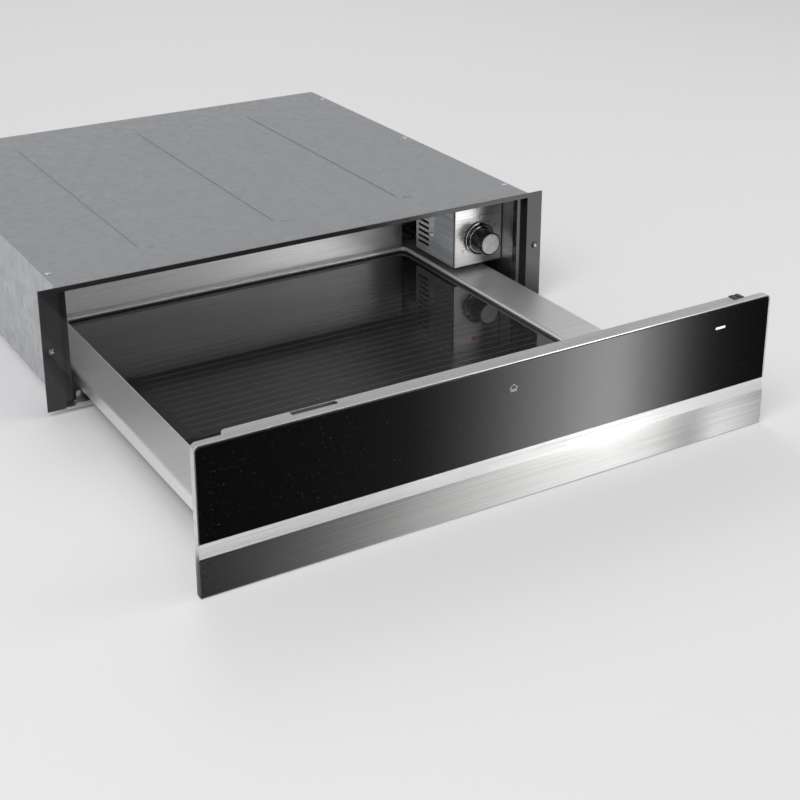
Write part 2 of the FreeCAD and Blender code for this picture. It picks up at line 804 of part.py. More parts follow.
def knob_skirt():
    """Bright ring at the foot of the knob."""
    y1 = body(control_front - knob_gap)
    y0 = y1 - skirt_height
    ring = cone(skirt_radius - skirt_taper, skirt_radius, (knob_x, y0, knob_z), (0, 1, 0),
                skirt_height * 0.5)
    rim = rod(skirt_radius, (knob_x, y0 + skirt_height * 0.5, knob_z), (0, 1, 0), skirt_height * 0.5)
    ring = fused([ring, rim])
    y_stem = body(control_front - bush_reach - knob_gap)
    hole = rod(stem_radius, (knob_x, y0 - sheet, knob_z), (0, 1, 0), y_stem - y0 + sheet)
    clear = rod(bush_radius + bush_gap, (knob_x, y0 - sheet, knob_z), (0, 1, 0), skirt_height + 2.0 * sheet)
    return ring.cut(hole).cut(clear)


def knob_inlay():
    """Metal disc in the end of the knob, with a pointer groove."""
    y_tip = body(control_front - knob_reach)
    disc = rod(inlay_radius, (knob_x, y_tip + inlay_gap, knob_z), (0, 1, 0), inlay_depth - inlay_gap)
    groove = box(knob_x - groove_width / 2.0, knob_x + groove_width / 2.0, y_tip - sheet,
                 y_tip + inlay_gap + groove_depth, knob_z + inlay_radius * 0.35, knob_z + inlay_radius * 0.9)
    return disc.cut(groove)


def air_heater():
    """Heating rods in a frame, in front of the blower's outlet."""
    t = heater_frame
    x0, x1 = outlet_left + heater_gap, outlet_right - heater_gap
    y1 = body(control_front + control_depth - control_sheet)
    y0 = y1 - heater_depth
    z0, z1 = outlet_low - 2.0 * t, outlet_high + blower_wall - heater_gap
    foot_low = control_low + control_sheet
    frame = box(x0, x1, y0, y1, z0, z1)
    frame = frame.cut(box(x0 + t, x1 - t, y0 - sheet, y1 + sheet, z0 + t, z1 - t))
    rods = []
    for i in range(heater_rods):
        z = z0 + (z1 - z0) * (i + 1) / (heater_rods + 1)
        rods.append(rod(heater_rod, (x0 + t / 2.0, (y0 + y1) / 2.0, z), (1, 0, 0), x1 - x0 - t))
    foot = box(x0, x1, y0, y1, foot_low, z0)
    foot = foot.cut(box(x0 + t, x1 - t, y0 - sheet, y1 + sheet, foot_low, z0 - t))
    return fused([frame, foot] + rods)


def blower_casing():
    """Scroll casing with its side inlet and the outlet towards the control box."""
    x0 = control_left + control_sheet
    x1 = x0 + blower_width
    y, z = blower_y, blower_z
    y_out = body(control_front + control_depth)
    outer = fused([rod(blower_radius, (x0, y, z), (1, 0, 0), blower_width),
                   box(x0, x1, y_out, y, z + blower_radius - outlet_height - blower_wall, z + blower_radius)])
    inner = fused([rod(blower_radius - blower_wall, (x0 + blower_wall, y, z), (1, 0, 0),
                       blower_width - 2 * blower_wall),
                   box(x0 + blower_wall, x1 - blower_wall, y_out - sheet, y, outlet_low, outlet_high)])
    inlet = rod(inlet_radius, (x0 - sheet, y, z), (1, 0, 0), blower_wall + 2.0 * sheet)
    shaft_hole = rod(motor_boss + boss_gap, (x1 - blower_wall - sheet, y, z), (1, 0, 0),
                     blower_wall + 2.0 * sheet)
    tab = box(x0, x1, y - blower_tab / 2.0, y + blower_tab / 2.0, z + blower_radius - sheet, ceiling_height)
    outer = fused([outer, tab])
    return outer.cut(inner).cut(inlet).cut(shaft_hole)


def fan_motor():
    """Shaded-pole motor on the side of the casing."""
    x0 = control_left + control_sheet + blower_width
    y, z = blower_y, blower_z
    can = rod(motor_radius, (x0, y, z), (1, 0, 0), motor_length)
    boss = rod(motor_boss, (x0 - blower_wall, y, z), (1, 0, 0), blower_wall)
    core = box(x0 + core_start, x0 + core_start + core_depth, y - core_width / 2.0, y + core_width / 2.0,
               z - core_height / 2.0, z + core_height / 2.0)
    whole = fused([can, boss, core])
    bore = rod(fan_shaft_radius + fan_shaft_clearance, (x0 - blower_wall - sheet, y, z), (1, 0, 0),
               blower_wall + sheet + fan_shaft_reach + sheet)
    return whole.cut(bore)


def fan_shaft():
    """Shaft between the motor and the wheel."""
    x0 = control_left + control_sheet + blower_wall + wheel_gap + wheel_disc
    x1 = control_left + control_sheet + blower_width + fan_shaft_reach
    return rod(fan_shaft_radius, (x0, blower_y, blower_z), (1, 0, 0), x1 - x0)


def fan_wheel():
    """Drum wheel with its back disc, hub, blades and front ring."""
    x0 = control_left + control_sheet + blower_wall + wheel_gap
    x1 = x0 + wheel_width
    y, z = blower_y, blower_z
    disc = rod(wheel_radius, (x1 - wheel_disc, y, z), (1, 0, 0), wheel_disc)
    hub = rod(hub_radius, (x1 - 2.0 * hub_radius, y, z), (1, 0, 0), 2.0 * hub_radius)
    eye = rod(wheel_radius - blade_depth - sheet, (x0 - sheet, y, z), (1, 0, 0), 2.0 * wheel_disc + sheet)
    ring = rod(wheel_radius, (x0, y, z), (1, 0, 0), wheel_disc).cut(eye)
    blade = box(x0 + wheel_disc / 2.0, x1 - wheel_disc / 2.0, y - blade_sheet / 2.0, y + blade_sheet / 2.0,
                z + wheel_radius - blade_depth, z + wheel_radius - blade_inset)
    whole = fused([disc, hub])
    whole = whole.cut(rod(fan_shaft_radius, (x0 - sheet, y, z), (1, 0, 0), wheel_width + 2.0 * sheet))
    blades = []
    for i in range(blade_count):
        one = blade.copy()
        one.rotate(FreeCAD.Vector(x0, y, z), FreeCAD.Vector(1, 0, 0), 360.0 * (i + 0.5) / blade_count)
        blades.append(one)
    return whole.multiFuse([ring] + blades)


def thermal_cutout():
    """Safety thermostat under the outlet duct."""
    x = control_left + control_sheet + blower_width / 2.0
    y = body(control_front + control_depth + cutout_radius + cutout_margin)
    z = blower_z + blower_radius - outlet_height - blower_wall
    z_can = z - cutout_height
    can = rod(cutout_radius, (x, y, z_can), (0, 0, 1), cutout_height)
    reach = cutout_radius * 1.5
    flange = box(x - reach, x + reach, y - lug_width / 2.0, y + lug_width / 2.0, z - sheet, z)
    pins = [box(x + dx - lug_width / 2.0, x + dx + lug_width / 2.0, y - lug_sheet / 2.0, y + lug_sheet / 2.0,
                z_can - lug_length, z_can) for dx in (-cutout_radius * 0.56, cutout_radius * 0.56)]
    return fused([can, flange] + pins)


def wiring_harness():
    """Bundle of leads from the terminal block along the side wall to the control box."""
    x, z = harness_x, harness_z
    bend = harness_bend
    y_start = body(control_front + control_depth - bend)
    y_end = body(terminal_start + terminal_length / 2.0)
    path = [Part.LineSegment(FreeCAD.Vector(x, y_start, z), FreeCAD.Vector(x, y_end - bend, z)).toShape()]
    corner = FreeCAD.Vector(x, y_end - bend + bend * math.sin(math.pi / 4),
                            z - bend + bend * math.cos(math.pi / 4))
    arc = Part.Arc(FreeCAD.Vector(x, y_end - bend, z), corner, FreeCAD.Vector(x, y_end, z - bend))
    path.append(arc.toShape())
    z_end = terminal_low + terminal_height
    drop = Part.LineSegment(FreeCAD.Vector(x, y_end, z - bend), FreeCAD.Vector(x, y_end, z_end))
    path.append(drop.toShape())
    section = Part.Wire([Part.makeCircle(harness_radius, FreeCAD.Vector(x, y_start, z),
                                         FreeCAD.Vector(0, 1, 0))])
    return Part.Wire(path).makePipeShell([section], True, False)


save("control_box", control_box())
save("control_box_screw", control_box_screw())
save("regulator", regulator())
save("indicator_lamp", indicator_lamp())
save("knob_spindle", knob_spindle())
save("knob_grip", knob_grip())
save("knob_skirt", knob_skirt())
save("knob_inlay", knob_inlay())
save("air_heater", air_heater())
save("blower_casing", blower_casing())
save("fan_motor", fan_motor())
save("fan_shaft", fan_shaft())
save("fan_wheel", fan_wheel())
save("thermal_cutout", thermal_cutout())
save("wiring_harness", wiring_harness())


# Telescopic slides. One side is drawn at +X and mirrored for the other.


def slide_channel(x_web, x_tip, z_low, z_high, y0, y1, sheet_thickness):
    """C-shaped member with its web at x_web and its lips ending at x_tip."""
    step = sheet_thickness if x_tip > x_web else -sheet_thickness
    web = box(x_web, x_web + step, y0, y1, z_low, z_high)
    low = box(x_web, x_tip, y0, y1, z_low, z_low + sheet_thickness)
    high = box(x_web, x_tip, y0, y1, z_high - sheet_thickness, z_high)
    return fused([web, low, high])


def outer_member():
    """Member screwed to the bracket, with the end stop at the back."""
    y0 = body(outer_start)
    z1 = slide_low + slide_height
    y1 = y0 + outer_length
    member = slide_channel(slide_out, slide_in + lip_step, slide_low, z1, y0, y1, member_sheet)
    stop = box(slide_out - member_sheet, slide_out - stop_reach, y1 - stop_sheet, y1,
               slide_low + member_sheet, z1 - member_sheet)
    return fused([member, stop])


def middle_member():
    """Middle member, half-way between the housing and the drawer in its travel."""
    y0 = body(middle_start_shut) - open_at_rest * middle_share
    gap = member_sheet + ball_track
    x_web = slide_out - member_sheet - web_gap
    return slide_channel(x_web, slide_in + lip_step, slide_low + gap, slide_low + slide_height - gap,
                         y0, y0 + middle_length, member_sheet)


def inner_member():
    """Member fixed to the drawer's carrier."""
    y0 = drawer(inner_start)
    gap = 2.0 * member_sheet + 2.0 * ball_track
    return slide_channel(slide_in, slide_out - member_sheet - inner_lip_gap, slide_low + gap,
                         slide_low + slide_height - gap, y0, y0 + inner_length, member_sheet)


def ball_cage(x_web, x_tip, x_ball, gap_outside, start):
    """C-shaped cage strip with a row of balls in each lip."""
    z_ball_low = slide_low + gap_outside + ball_track / 2.0
    z_ball_high = slide_low + slide_height - gap_outside - ball_track / 2.0
    strip = slide_channel(x_web, x_tip, z_ball_low - cage_sheet / 2.0, z_ball_high + cage_sheet / 2.0,
                          start, start + cage_length, cage_sheet)
    balls = []
    for z in (z_ball_low, z_ball_high):
        for i in range(ball_count):
            y = start + cage_length * (i + 0.5) / ball_count
            balls.append(Part.makeSphere(ball_radius, FreeCAD.Vector(x_ball, y, z)))
    return strip.multiFuse(balls)


def outer_cage():
    """Cage between the outer and the middle member."""
    start = body(outer_cage_start_shut) - open_at_rest * outer_cage_share
    x_web = slide_out - member_sheet - cage_gap
    x_tip = x_web - race_inset
    return ball_cage(x_web, x_tip, x_tip + ball_radius + cage_gap, member_sheet, start)


def inner_cage():
    """Cage between the middle and the inner member."""
    start = body(inner_cage_start_shut) - open_at_rest * inner_cage_share
    x_web = slide_out - 2.0 * member_sheet - web_gap - cage_gap
    x_tip = x_web - race_inset
    gap = 2.0 * member_sheet + ball_track
    return ball_cage(x_web, x_tip, x_tip + ball_radius + cage_gap, gap, start)


def slide_bracket():
    """Angle on the housing floor that carries the outer member, with a bright tab at the front."""
    y0, y1 = body(outer_start), body(outer_start + outer_length)
    y_tab = body(bracket_tab_start)
    web = box(slide_out, slide_out + bracket_sheet, y0, y1, sheet, slide_low + slide_height - member_sheet)
    foot = box(slide_out, slide_out + bracket_foot, y_tab, y1, sheet, sheet + bracket_sheet)
    x_tab = tray_half_width + sheet
    tab = box(x_tab, slide_out + bracket_foot - bracket_tab_inset, y_tab, y_tab + bracket_sheet, sheet,
              bracket_tab_height)
    x_rivet = slide_out + bracket_sheet + (bracket_foot - bracket_sheet) / 2.0
    rivets = [rod(rivet_radius, (x_rivet, y0 + outer_length * (i + 0.5) / rivet_count, sheet + bracket_sheet),
                  (0, 0, 1), rivet_height) for i in range(rivet_count)]
    return fused([web, foot, tab] + rivets)


def slide_carrier():
    """Angle under the drawer's shelf that joins it to the inner member."""
    y0, y1 = drawer(inner_start), drawer(inner_start + inner_length)
    web = box(slide_in - carrier_sheet, slide_in, y0, y1, slide_low + member_sheet, shelf_low)
    top = box(slide_in - carrier_sheet - carrier_width, slide_in, y0, y1, shelf_low - carrier_sheet,
              shelf_low)
    return fused([web, top])


for side_name, place in (("right", lambda s: s), ("left", mirrored)):
    save("slide_bracket_" + side_name, place(slide_bracket()))
    save("slide_outer_" + side_name, place(outer_member()))
    save("slide_middle_" + side_name, place(middle_member()))
    save("slide_inner_" + side_name, place(inner_member()))
    save("ball_cage_outer_" + side_name, place(outer_cage()))
    save("ball_cage_inner_" + side_name, place(inner_cage()))

save("slide_carriers", Part.makeCompound([slide_carrier(), mirrored(slide_carrier())]))


# Push latch and rear buffers


def latch_body():
    """Latch body on the housing floor with the guide for its plunger."""
    y0 = latch_face
    case = rounded_block(-latch_width / 2.0, latch_width / 2.0, y0, y0 + latch_length,
                         sheet, sheet + latch_height, latch_corner)
    guide = box(-latch_channel, latch_channel, y0 - sheet, y0 + latch_length - latch_corner - sheet,
                sheet + latch_wall, sheet + latch_height - latch_wall)
    return case.cut(guide)


def latch_plunger():
    """Sprung plunger that pushes the drawer open, shown run out."""
    tip = latch_face - plunger_tip - eject_travel
    c = latch_clearance
    x = latch_channel - c
    z0, z1 = sheet + latch_wall + c, sheet + latch_height - latch_wall - c
    bar = box(-x, x, tip, tip + plunger_length, z0, z1)
    nose = long_edges(bar, "z", lambda p: p.y < tip + plunger_round)
    bar = bar.makeFillet(plunger_round, nose)
    window = box(-x * 0.45, x * 0.45, tip + plunger_length * 0.5, tip + plunger_length * 0.85, z0 - sheet,
                 z1 + sheet)
    return bar.cut(window)


def latch_strike():
    """Angle under the drawer that meets the plunger when the drawer is shut."""
    shut_face = latch_face - plunger_tip - press_travel - strike_gap
    y1 = shut_face - open_at_rest
    x = strike_width / 2.0
    blade = box(-x, x, y1 - strike_thickness, y1, strike_low, pan_low)
    foot = box(-x, x, y1 - strike_foot, y1, pan_low - strike_foot_sheet, pan_low)
    return fused([blade, foot])


def rear_buffers():
    """Two rubber buffers on the back sheet that stop the drawer."""
    y1 = back_y - sheet
    y_stop = shut_front_y + tray_back + press_travel + buffer_gap
    return Part.makeCompound([rod(buffer_radius, (x, y_stop, buffer_z), (0, 1, 0), y1 - y_stop)
                              for x in (-buffer_x, buffer_x)])


save("latch_body", latch_body())
save("latch_plunger", latch_plunger())
save("latch_strike", latch_strike())
save("rear_buffers", rear_buffers())


# Drawer front


def front_glass():
    """Black glass of the front, with rounded upper corners and the window for the light bar."""
    x = front_x - glass_rim - glass_gap
    z0, z1 = glass_low_edge + strip_gap, front_top - glass_rim - glass_gap
    plate = box(-x, x, front_y, front_y + glass_thickness - glass_gap, z0, z1)
    corners = long_edges(plate, "y", lambda p: p.z > z1 - glass_rim)
    plate = plate.makeFillet(corner_radius - glass_rim, corners)
    rim = [e for e in plate.Edges if abs(e.CenterOfMass.y - front_y) < 1e-6]
    plate = plate.makeChamfer(glass_chamfer, rim)
    return plate.cut(led_window())


def led_window():
    """Block through the front for the light bar."""
    x = led_length / 2.0 + led_gap
    z = led_height / 2.0 + led_gap
    return box(led_x - x, led_x + x, front_y - sheet, front_y + front_edge + sheet, led_z - z, led_z + z)


def front_carrier():
    """Carrier behind the glass and the bar, whose edge shows as the light rim."""
    y_rim = front_y + rim_setback
    y0, y1 = front_y + glass_thickness, front_y + front_edge
    low = front_low + bar_sheet
    plate = box(-front_x, front_x, y_rim, y1, low, front_top)
    corners = long_edges(plate, "y", lambda p: p.z > glass_low_edge)
    plate = plate.makeFillet(corner_radius, corners)
    x = front_x - glass_rim
    pocket = box(-x, x, front_y - sheet, y0, low - sheet, front_top - glass_rim)
    pocket_corners = long_edges(pocket, "y", lambda p: p.z > glass_low_edge)
    pocket = pocket.makeFillet(corner_radius - glass_rim, pocket_corners)
    bar_clear = box(-front_x - sheet, front_x + sheet, front_y - sheet, y0, low - sheet, glass_low_edge)
    return plate.cut(pocket).cut(bar_clear).cut(led_window())


def front_bar():
    """Brushed bar with the slanted strip above it and its lower and side edges folded back."""
    y_back = front_y + front_edge
    t = bar_sheet
    lean = front_y + strip_lean
    outside = [(y_back, front_low), (front_y, front_low), (front_y, strip_low), (lean, glass_low_edge),
               (front_y + glass_thickness, glass_low_edge), (front_y + glass_thickness, front_low + t),
               (y_back, front_low + t)]
    section = prism_x(outside, -front_x, front_x)
    y_open = front_y + glass_thickness + t
    hollow = [(front_y + t, front_low + t), (front_y + t, strip_low), (lean + t * 0.2, glass_low_edge - t),
              (y_open, glass_low_edge - t), (y_open, front_low + t)]
    section = section.cut(prism_x(hollow, -front_x + t, front_x - t))
    low_edge = long_edges(section, "x", lambda p: p.y < front_y + 0.01 and p.z < front_low + 0.01)
    return section.makeFillet(bar_fold_radius, low_edge)


def inner_front():
    """Folded inner front: top flange with the grip slot, back plate, bottom flange and end plates."""
    y0, y1 = front_y + front_edge, front_y + inner_back
    x0, x1 = -front_x + inner_front_left, front_x - inner_front_right
    z0, z1 = front_low + inner_front_bottom, front_top
    t = tray_sheet
    outer = box(x0, x1, y0, y1, z0, z1)
    outer = outer.makeFillet(inner_front_corner, long_edges(outer, "z", lambda p: p.y > y1 - t and p.x < 0))
    outer = outer.makeFillet(inner_front_bend, long_edges(outer, "x", lambda p: p.y > y1 - t))
    whole = outer.cut(box(x0 + t, x1 - t, y0 - t, y1 - t, z0 + t, z1 - t))
    slot_start = -recess_left + slot_inset
    slot_back = y1 - t - slot_margin
    slot = box(slot_start, slot_start + slot_length, slot_back - slot_width, slot_back, z1 - 2 * t, z1 + t)
    cuts = [slot.makeFillet(slot_corner, long_edges(slot, "z", lambda p: True))]
    for x in front_screw_places:
        cuts.append(rod(front_screw_radius + hole_clearance, (x, y1 - 2 * t, front_screw_z), (0, 1, 0), 4 * t))
    return whole.cut(Part.makeCompound(cuts))


def led_lens():
    """White light bar that shows flush in the glass."""
    lens = box(led_x - led_length / 2.0, led_x + led_length / 2.0, front_y, front_y + led_depth,
               led_z - led_height / 2.0, led_z + led_height / 2.0)
    return lens.makeFillet(led_corner, long_edges(lens, "y", lambda p: True))


def led_board():
    """Circuit board with the light source behind the lens."""
    y0 = front_y + front_edge
    y1 = y0 + board_sheet
    x, z = board_length / 2.0, board_height / 2.0
    source_x, source_z = led_length / 3.0, led_height * 0.4
    board = box(led_x - x, led_x + x, y0, y1, led_z - z, led_z + z)
    source = box(led_x - source_x, led_x + source_x, front_y + led_depth, y0, led_z - source_z,
                 led_z + source_z)
    plug = box(led_x - x + board_sheet, led_x - x + board_sheet + plug_width, y1, y1 + plug_reach,
               led_z - plug_width / 2.0, led_z + plug_width / 2.0)
    return fused([board, source, plug])


def cable_guide():
    """Black guide for the light's lead at the right end of the inner front."""
    y0, y1 = front_y + front_edge, front_y + inner_back - guide_setback
    x0 = front_x - inner_front_right
    x_lead = x0 + guide_width / 2.0
    z1 = front_top + guide_rise
    z_lead = z1 - guide_height * 0.35
    block = box(x0, x0 + guide_width, y0, y1, z1 - guide_height, z1)
    block = block.makeFillet(guide_bore, long_edges(block, "y", lambda p: p.x > x_lead))
    groove = rod(guide_bore, (x_lead, y0 - sheet, z_lead), (0, 1, 0), y1 - y0 + 2.0 * sheet)
    notch = box(x_lead - guide_bore * 0.4, x_lead + guide_bore * 0.4, y0 - sheet, y1 + sheet, z_lead,
                z1 + sheet)
    return block.cut(groove).cut(notch)


def front_screws():
    """Four screws that hold the front to the tray."""
    screws = []
    y_head = front_y + inner_back + tray_sheet
    for x in front_screw_places:
        head = rod(front_screw_head, (x, y_head, front_screw_z), (0, 1, 0), front_screw_head_height)
        shank = rod(front_screw_radius, (x, y_head - front_screw_length, front_screw_z), (0, 1, 0),
                    front_screw_length)
        screws.append(fused([head, shank]))
    return Part.makeCompound(screws)


save("front_glass", front_glass())
save("front_carrier", front_carrier())
save("front_bar", front_bar())
save("inner_front", inner_front())
save("led_lens", led_lens())
save("led_board", led_board())
save("cable_guide", cable_guide())
save("front_screws", front_screws())


# Drawer tray with its heated glass floor


def recess_block(grow, z0, z1):
    """Rounded block over the glass recess, grown or shrunk all round."""
    radius = max(recess_radius + grow, tray_sheet)
    return rounded_block(-recess_left - grow, recess_right + grow, drawer(recess_front - grow),
                         drawer(recess_back + grow), z0, z1, radius)


def drawer_tray():
    """Stainless tray: shelves with folded edges and the wall of the recess that holds the glass."""
    x = tray_half_width
    t = tray_sheet
    y0, y1 = drawer(inner_back), drawer(tray_back)
    outer = box(-x, x, y0, y1, tray_low, tray_top)
    inner = box(-x + t, x - t, y0 + t, y1 - t, tray_low - t, shelf_low)
    outer = outer.makeFillet(bend_radius, long_edges(outer, "y", lambda p: p.z > shelf_low))
    inner = inner.makeFillet(bend_radius - t, long_edges(inner, "y", lambda p: p.z > shelf_low - t))
    wall = recess_block(t, ledge_top, shelf_low)
    whole = outer.cut(inner).fuse(wall).cut(recess_block(0.0, tray_low - t, tray_top + t)).removeSplitter()
    whole = whole.makeFillet(recess_edge, [e for e in whole.Edges if recess_rim(e)])
    cuts = [rod(front_screw_radius + hole_clearance, (sx, y0 - t, front_screw_z), (0, 1, 0), 3 * t)
            for sx in front_screw_places]
    x_slide = slide_in - carrier_sheet - slide_notch_gap
    z_slide = slide_low + slide_height + slide_notch_gap
    for side in (-1, 1):
        cuts.append(box(side * x_slide, side * (x - t), y1 - 2 * t, y1 + t, tray_low - t, z_slide))
    return whole.cut(Part.makeCompound(cuts))


def recess_rim(edge):
    """True for the edges between the shelf's top and the wall of the recess."""
    middle = edge.CenterOfMass
    if abs(middle.z - tray_top) > 1e-6 or edge.BoundBox.ZLength > 1e-6:
        return False
    inside_x = -recess_left - 0.01 < middle.x < recess_right + 0.01
    return inside_x and drawer(recess_front) - 0.01 < middle.y < drawer(recess_back) + 0.01


def heating_plate():
    """Dark glass plate that the crockery stands on."""
    plate = recess_block(-plate_gap, glass_low, glass_top)
    rim = [e for e in plate.Edges if abs(e.CenterOfMass.z - glass_top) < 1e-6]
    return plate.makeChamfer(plate_chamfer, rim)


def plate_seal():
    """Silicone seal between the ledge and the glass."""
    ring = recess_block(-plate_gap, ledge_top, glass_low)
    return ring.cut(recess_block(-ledge + seal_inset, ledge_top - sheet, glass_low + sheet))


def heater_foil():
    """Foil heater under the glass, with its meandering track."""
    z1 = glass_low
    z0 = z1 - foil_thickness
    base = recess_block(-ledge - foil_inset, z0, z1)
    margin = ledge + track_margin
    x0, x1 = -recess_left + margin, recess_right - margin
    y0, y1 = drawer(recess_front + margin), drawer(mat_end - margin)
    pitch = (y1 - y0) / track_rows
    tracks = []
    for i in range(track_rows):
        y = y0 + i * pitch
        tracks.append(box(x0, x1, y, y + track_width, z0 - track_height, z0))
        x_turn = x0 if i % 2 else x1 - track_width
        if i < track_rows - 1:
            tracks.append(box(x_turn, x_turn + track_width, y, y + pitch + track_width, z0 - track_height,
                              z0))
    return fused([base] + tracks)


def insulation_mat():
    """Mineral-wool mat between the foil and the pan, with a pocket for the sensor."""
    z0, z1 = pan_low + pan_wall, glass_low - foil_thickness - track_height
    mat = recess_block(-ledge - mat_inset, z0, z1)
    mat = mat.cut(box(-front_x, front_x, drawer(mat_end), drawer(recess_back), z0 - sheet, z1 + sheet))
    g = insulation_gap
    pocket = box(-sensor_width / 2.0 - g, sensor_width / 2.0 + g, drawer(sensor_y) - g,
                 drawer(sensor_y + sensor_length) + g, z1 - sensor_height - g, z1 + sheet)
    return mat.cut(pocket)


def plate_sensor():
    """Temperature sensor pressed against the foil."""
    z1 = glass_low - foil_thickness - track_height
    return rounded_block(-sensor_width / 2.0, sensor_width / 2.0, drawer(sensor_y),
                         drawer(sensor_y + sensor_length), z1 - sensor_height, z1, sensor_corner)


def heater_junction():
    """Connector block of the foil heater in the back of the pan."""
    z0 = pan_low + pan_wall
    y0 = drawer(mat_end + junction_gap)
    z1 = ledge_low - plate_gap
    block = box(junction_x - junction_width / 2.0, junction_x + junction_width / 2.0, y0,
                y0 + junction_length, z0, z1)
    pitch = junction_width / junction_ways
    cuts = [rod(junction_bore, (junction_x + pitch * (i - (junction_ways - 1) / 2.0), y0 - sheet,
                                (z0 + z1) / 2.0), (0, 1, 0), junction_length / 2.0)
            for i in range(junction_ways)]
    return block.cut(Part.makeCompound(cuts))


def bottom_pan():
    """Sheet pan under the tray: its flange is the ledge under the glass and carries the recess's wall."""
    grow = -pan_side_inset
    outer = recess_block(grow, pan_low, ledge_low)
    inner = recess_block(grow - pan_wall, pan_low + pan_wall, ledge_low + sheet)
    flange = recess_block(tray_sheet, ledge_low, ledge_top)
    flange = flange.cut(recess_block(-ledge, ledge_low - sheet, ledge_top + sheet))
    return fused([outer.cut(inner), flange])


def rear_wall():
    """Brushed rear wall of the drawer with its foot, top flange and folded right end."""
    t = tray_sheet
    y0 = drawer(wall_front)
    y1 = drawer(tray_back)
    x0, x1 = -rear_wall_left, rear_wall_right
    wall = box(x0, x1, y0, y0 + t, tray_top, rear_wall_top)
    foot = box(x0, x1, y0, y1, tray_top, tray_top + t)
    top = box(x0, x1, y0, y1, rear_wall_top - t, rear_wall_top)
    ends = [box(x, x + t, y0, y1, tray_top, rear_wall_top) for x in (x0, x1 - t)]
    whole = fused([wall, foot, top] + ends)
    bend = long_edges(whole, "x", lambda p: p.y < y0 + 0.01 and p.z > rear_wall_top - 0.01)
    return whole.makeFillet(rear_wall_bend, bend)


save("drawer_tray", drawer_tray())
save("heating_plate", heating_plate())
save("plate_seal", plate_seal())
save("heater_foil", heater_foil())
save("insulation_mat", insulation_mat())
save("plate_sensor", plate_sensor())
save("heater_junction", heater_junction())
save("bottom_pan", bottom_pan())
save("rear_wall", rear_wall())
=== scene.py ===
"""Looks of a built-in warming drawer: steel, glass and plastic finishes, softened sheet edges and small parts.

Everything is in metres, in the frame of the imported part: +Z up, -Y towards the user.
"""

import json
import math

import bmesh
import bpy
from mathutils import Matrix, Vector

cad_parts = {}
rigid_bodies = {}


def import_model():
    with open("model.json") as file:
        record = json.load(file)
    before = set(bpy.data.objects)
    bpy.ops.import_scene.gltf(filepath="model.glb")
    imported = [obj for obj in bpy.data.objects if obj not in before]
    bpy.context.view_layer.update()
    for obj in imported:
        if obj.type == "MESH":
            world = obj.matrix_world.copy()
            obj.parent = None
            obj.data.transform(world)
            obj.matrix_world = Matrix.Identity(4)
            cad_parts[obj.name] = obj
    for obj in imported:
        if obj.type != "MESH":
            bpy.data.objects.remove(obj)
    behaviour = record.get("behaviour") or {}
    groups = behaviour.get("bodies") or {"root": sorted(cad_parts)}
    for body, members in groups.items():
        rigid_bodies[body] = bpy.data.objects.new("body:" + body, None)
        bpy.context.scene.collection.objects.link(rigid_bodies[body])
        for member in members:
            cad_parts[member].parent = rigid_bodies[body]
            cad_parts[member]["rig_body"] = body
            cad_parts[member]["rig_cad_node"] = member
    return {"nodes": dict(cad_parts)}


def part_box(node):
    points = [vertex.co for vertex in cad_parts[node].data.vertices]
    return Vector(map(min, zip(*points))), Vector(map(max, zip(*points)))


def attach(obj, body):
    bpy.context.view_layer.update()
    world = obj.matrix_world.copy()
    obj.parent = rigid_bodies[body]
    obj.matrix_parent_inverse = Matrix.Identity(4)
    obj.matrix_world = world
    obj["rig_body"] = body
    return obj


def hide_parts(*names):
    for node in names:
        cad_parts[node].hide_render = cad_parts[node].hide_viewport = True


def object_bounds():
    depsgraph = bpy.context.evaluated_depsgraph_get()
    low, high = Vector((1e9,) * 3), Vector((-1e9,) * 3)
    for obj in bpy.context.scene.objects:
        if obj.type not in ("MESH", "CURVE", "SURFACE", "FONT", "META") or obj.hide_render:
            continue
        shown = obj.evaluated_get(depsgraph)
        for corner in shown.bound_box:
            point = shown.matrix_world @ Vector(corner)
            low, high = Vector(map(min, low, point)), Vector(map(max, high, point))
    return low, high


bl_info = {
    "name": "Warming drawer",
    "version": (1, 0, 0),
    "blender": (4, 5, 0),
    "location": "View3D > Sidebar > Drawer",
    "description": "Finishes and small parts of a built-in warming drawer",
    "category": "Object",
}

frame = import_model()
cad_low, cad_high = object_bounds()
nodes = frame["nodes"]
camera_spot = (-0.6916, -1.5929, 0.6777)
camera_pitch, camera_yaw, camera_shift = 20.29, 31.015, -0.2
screw_tilt = 0.35
evenly = (1.0, 1.0, 1.0)


# Settings

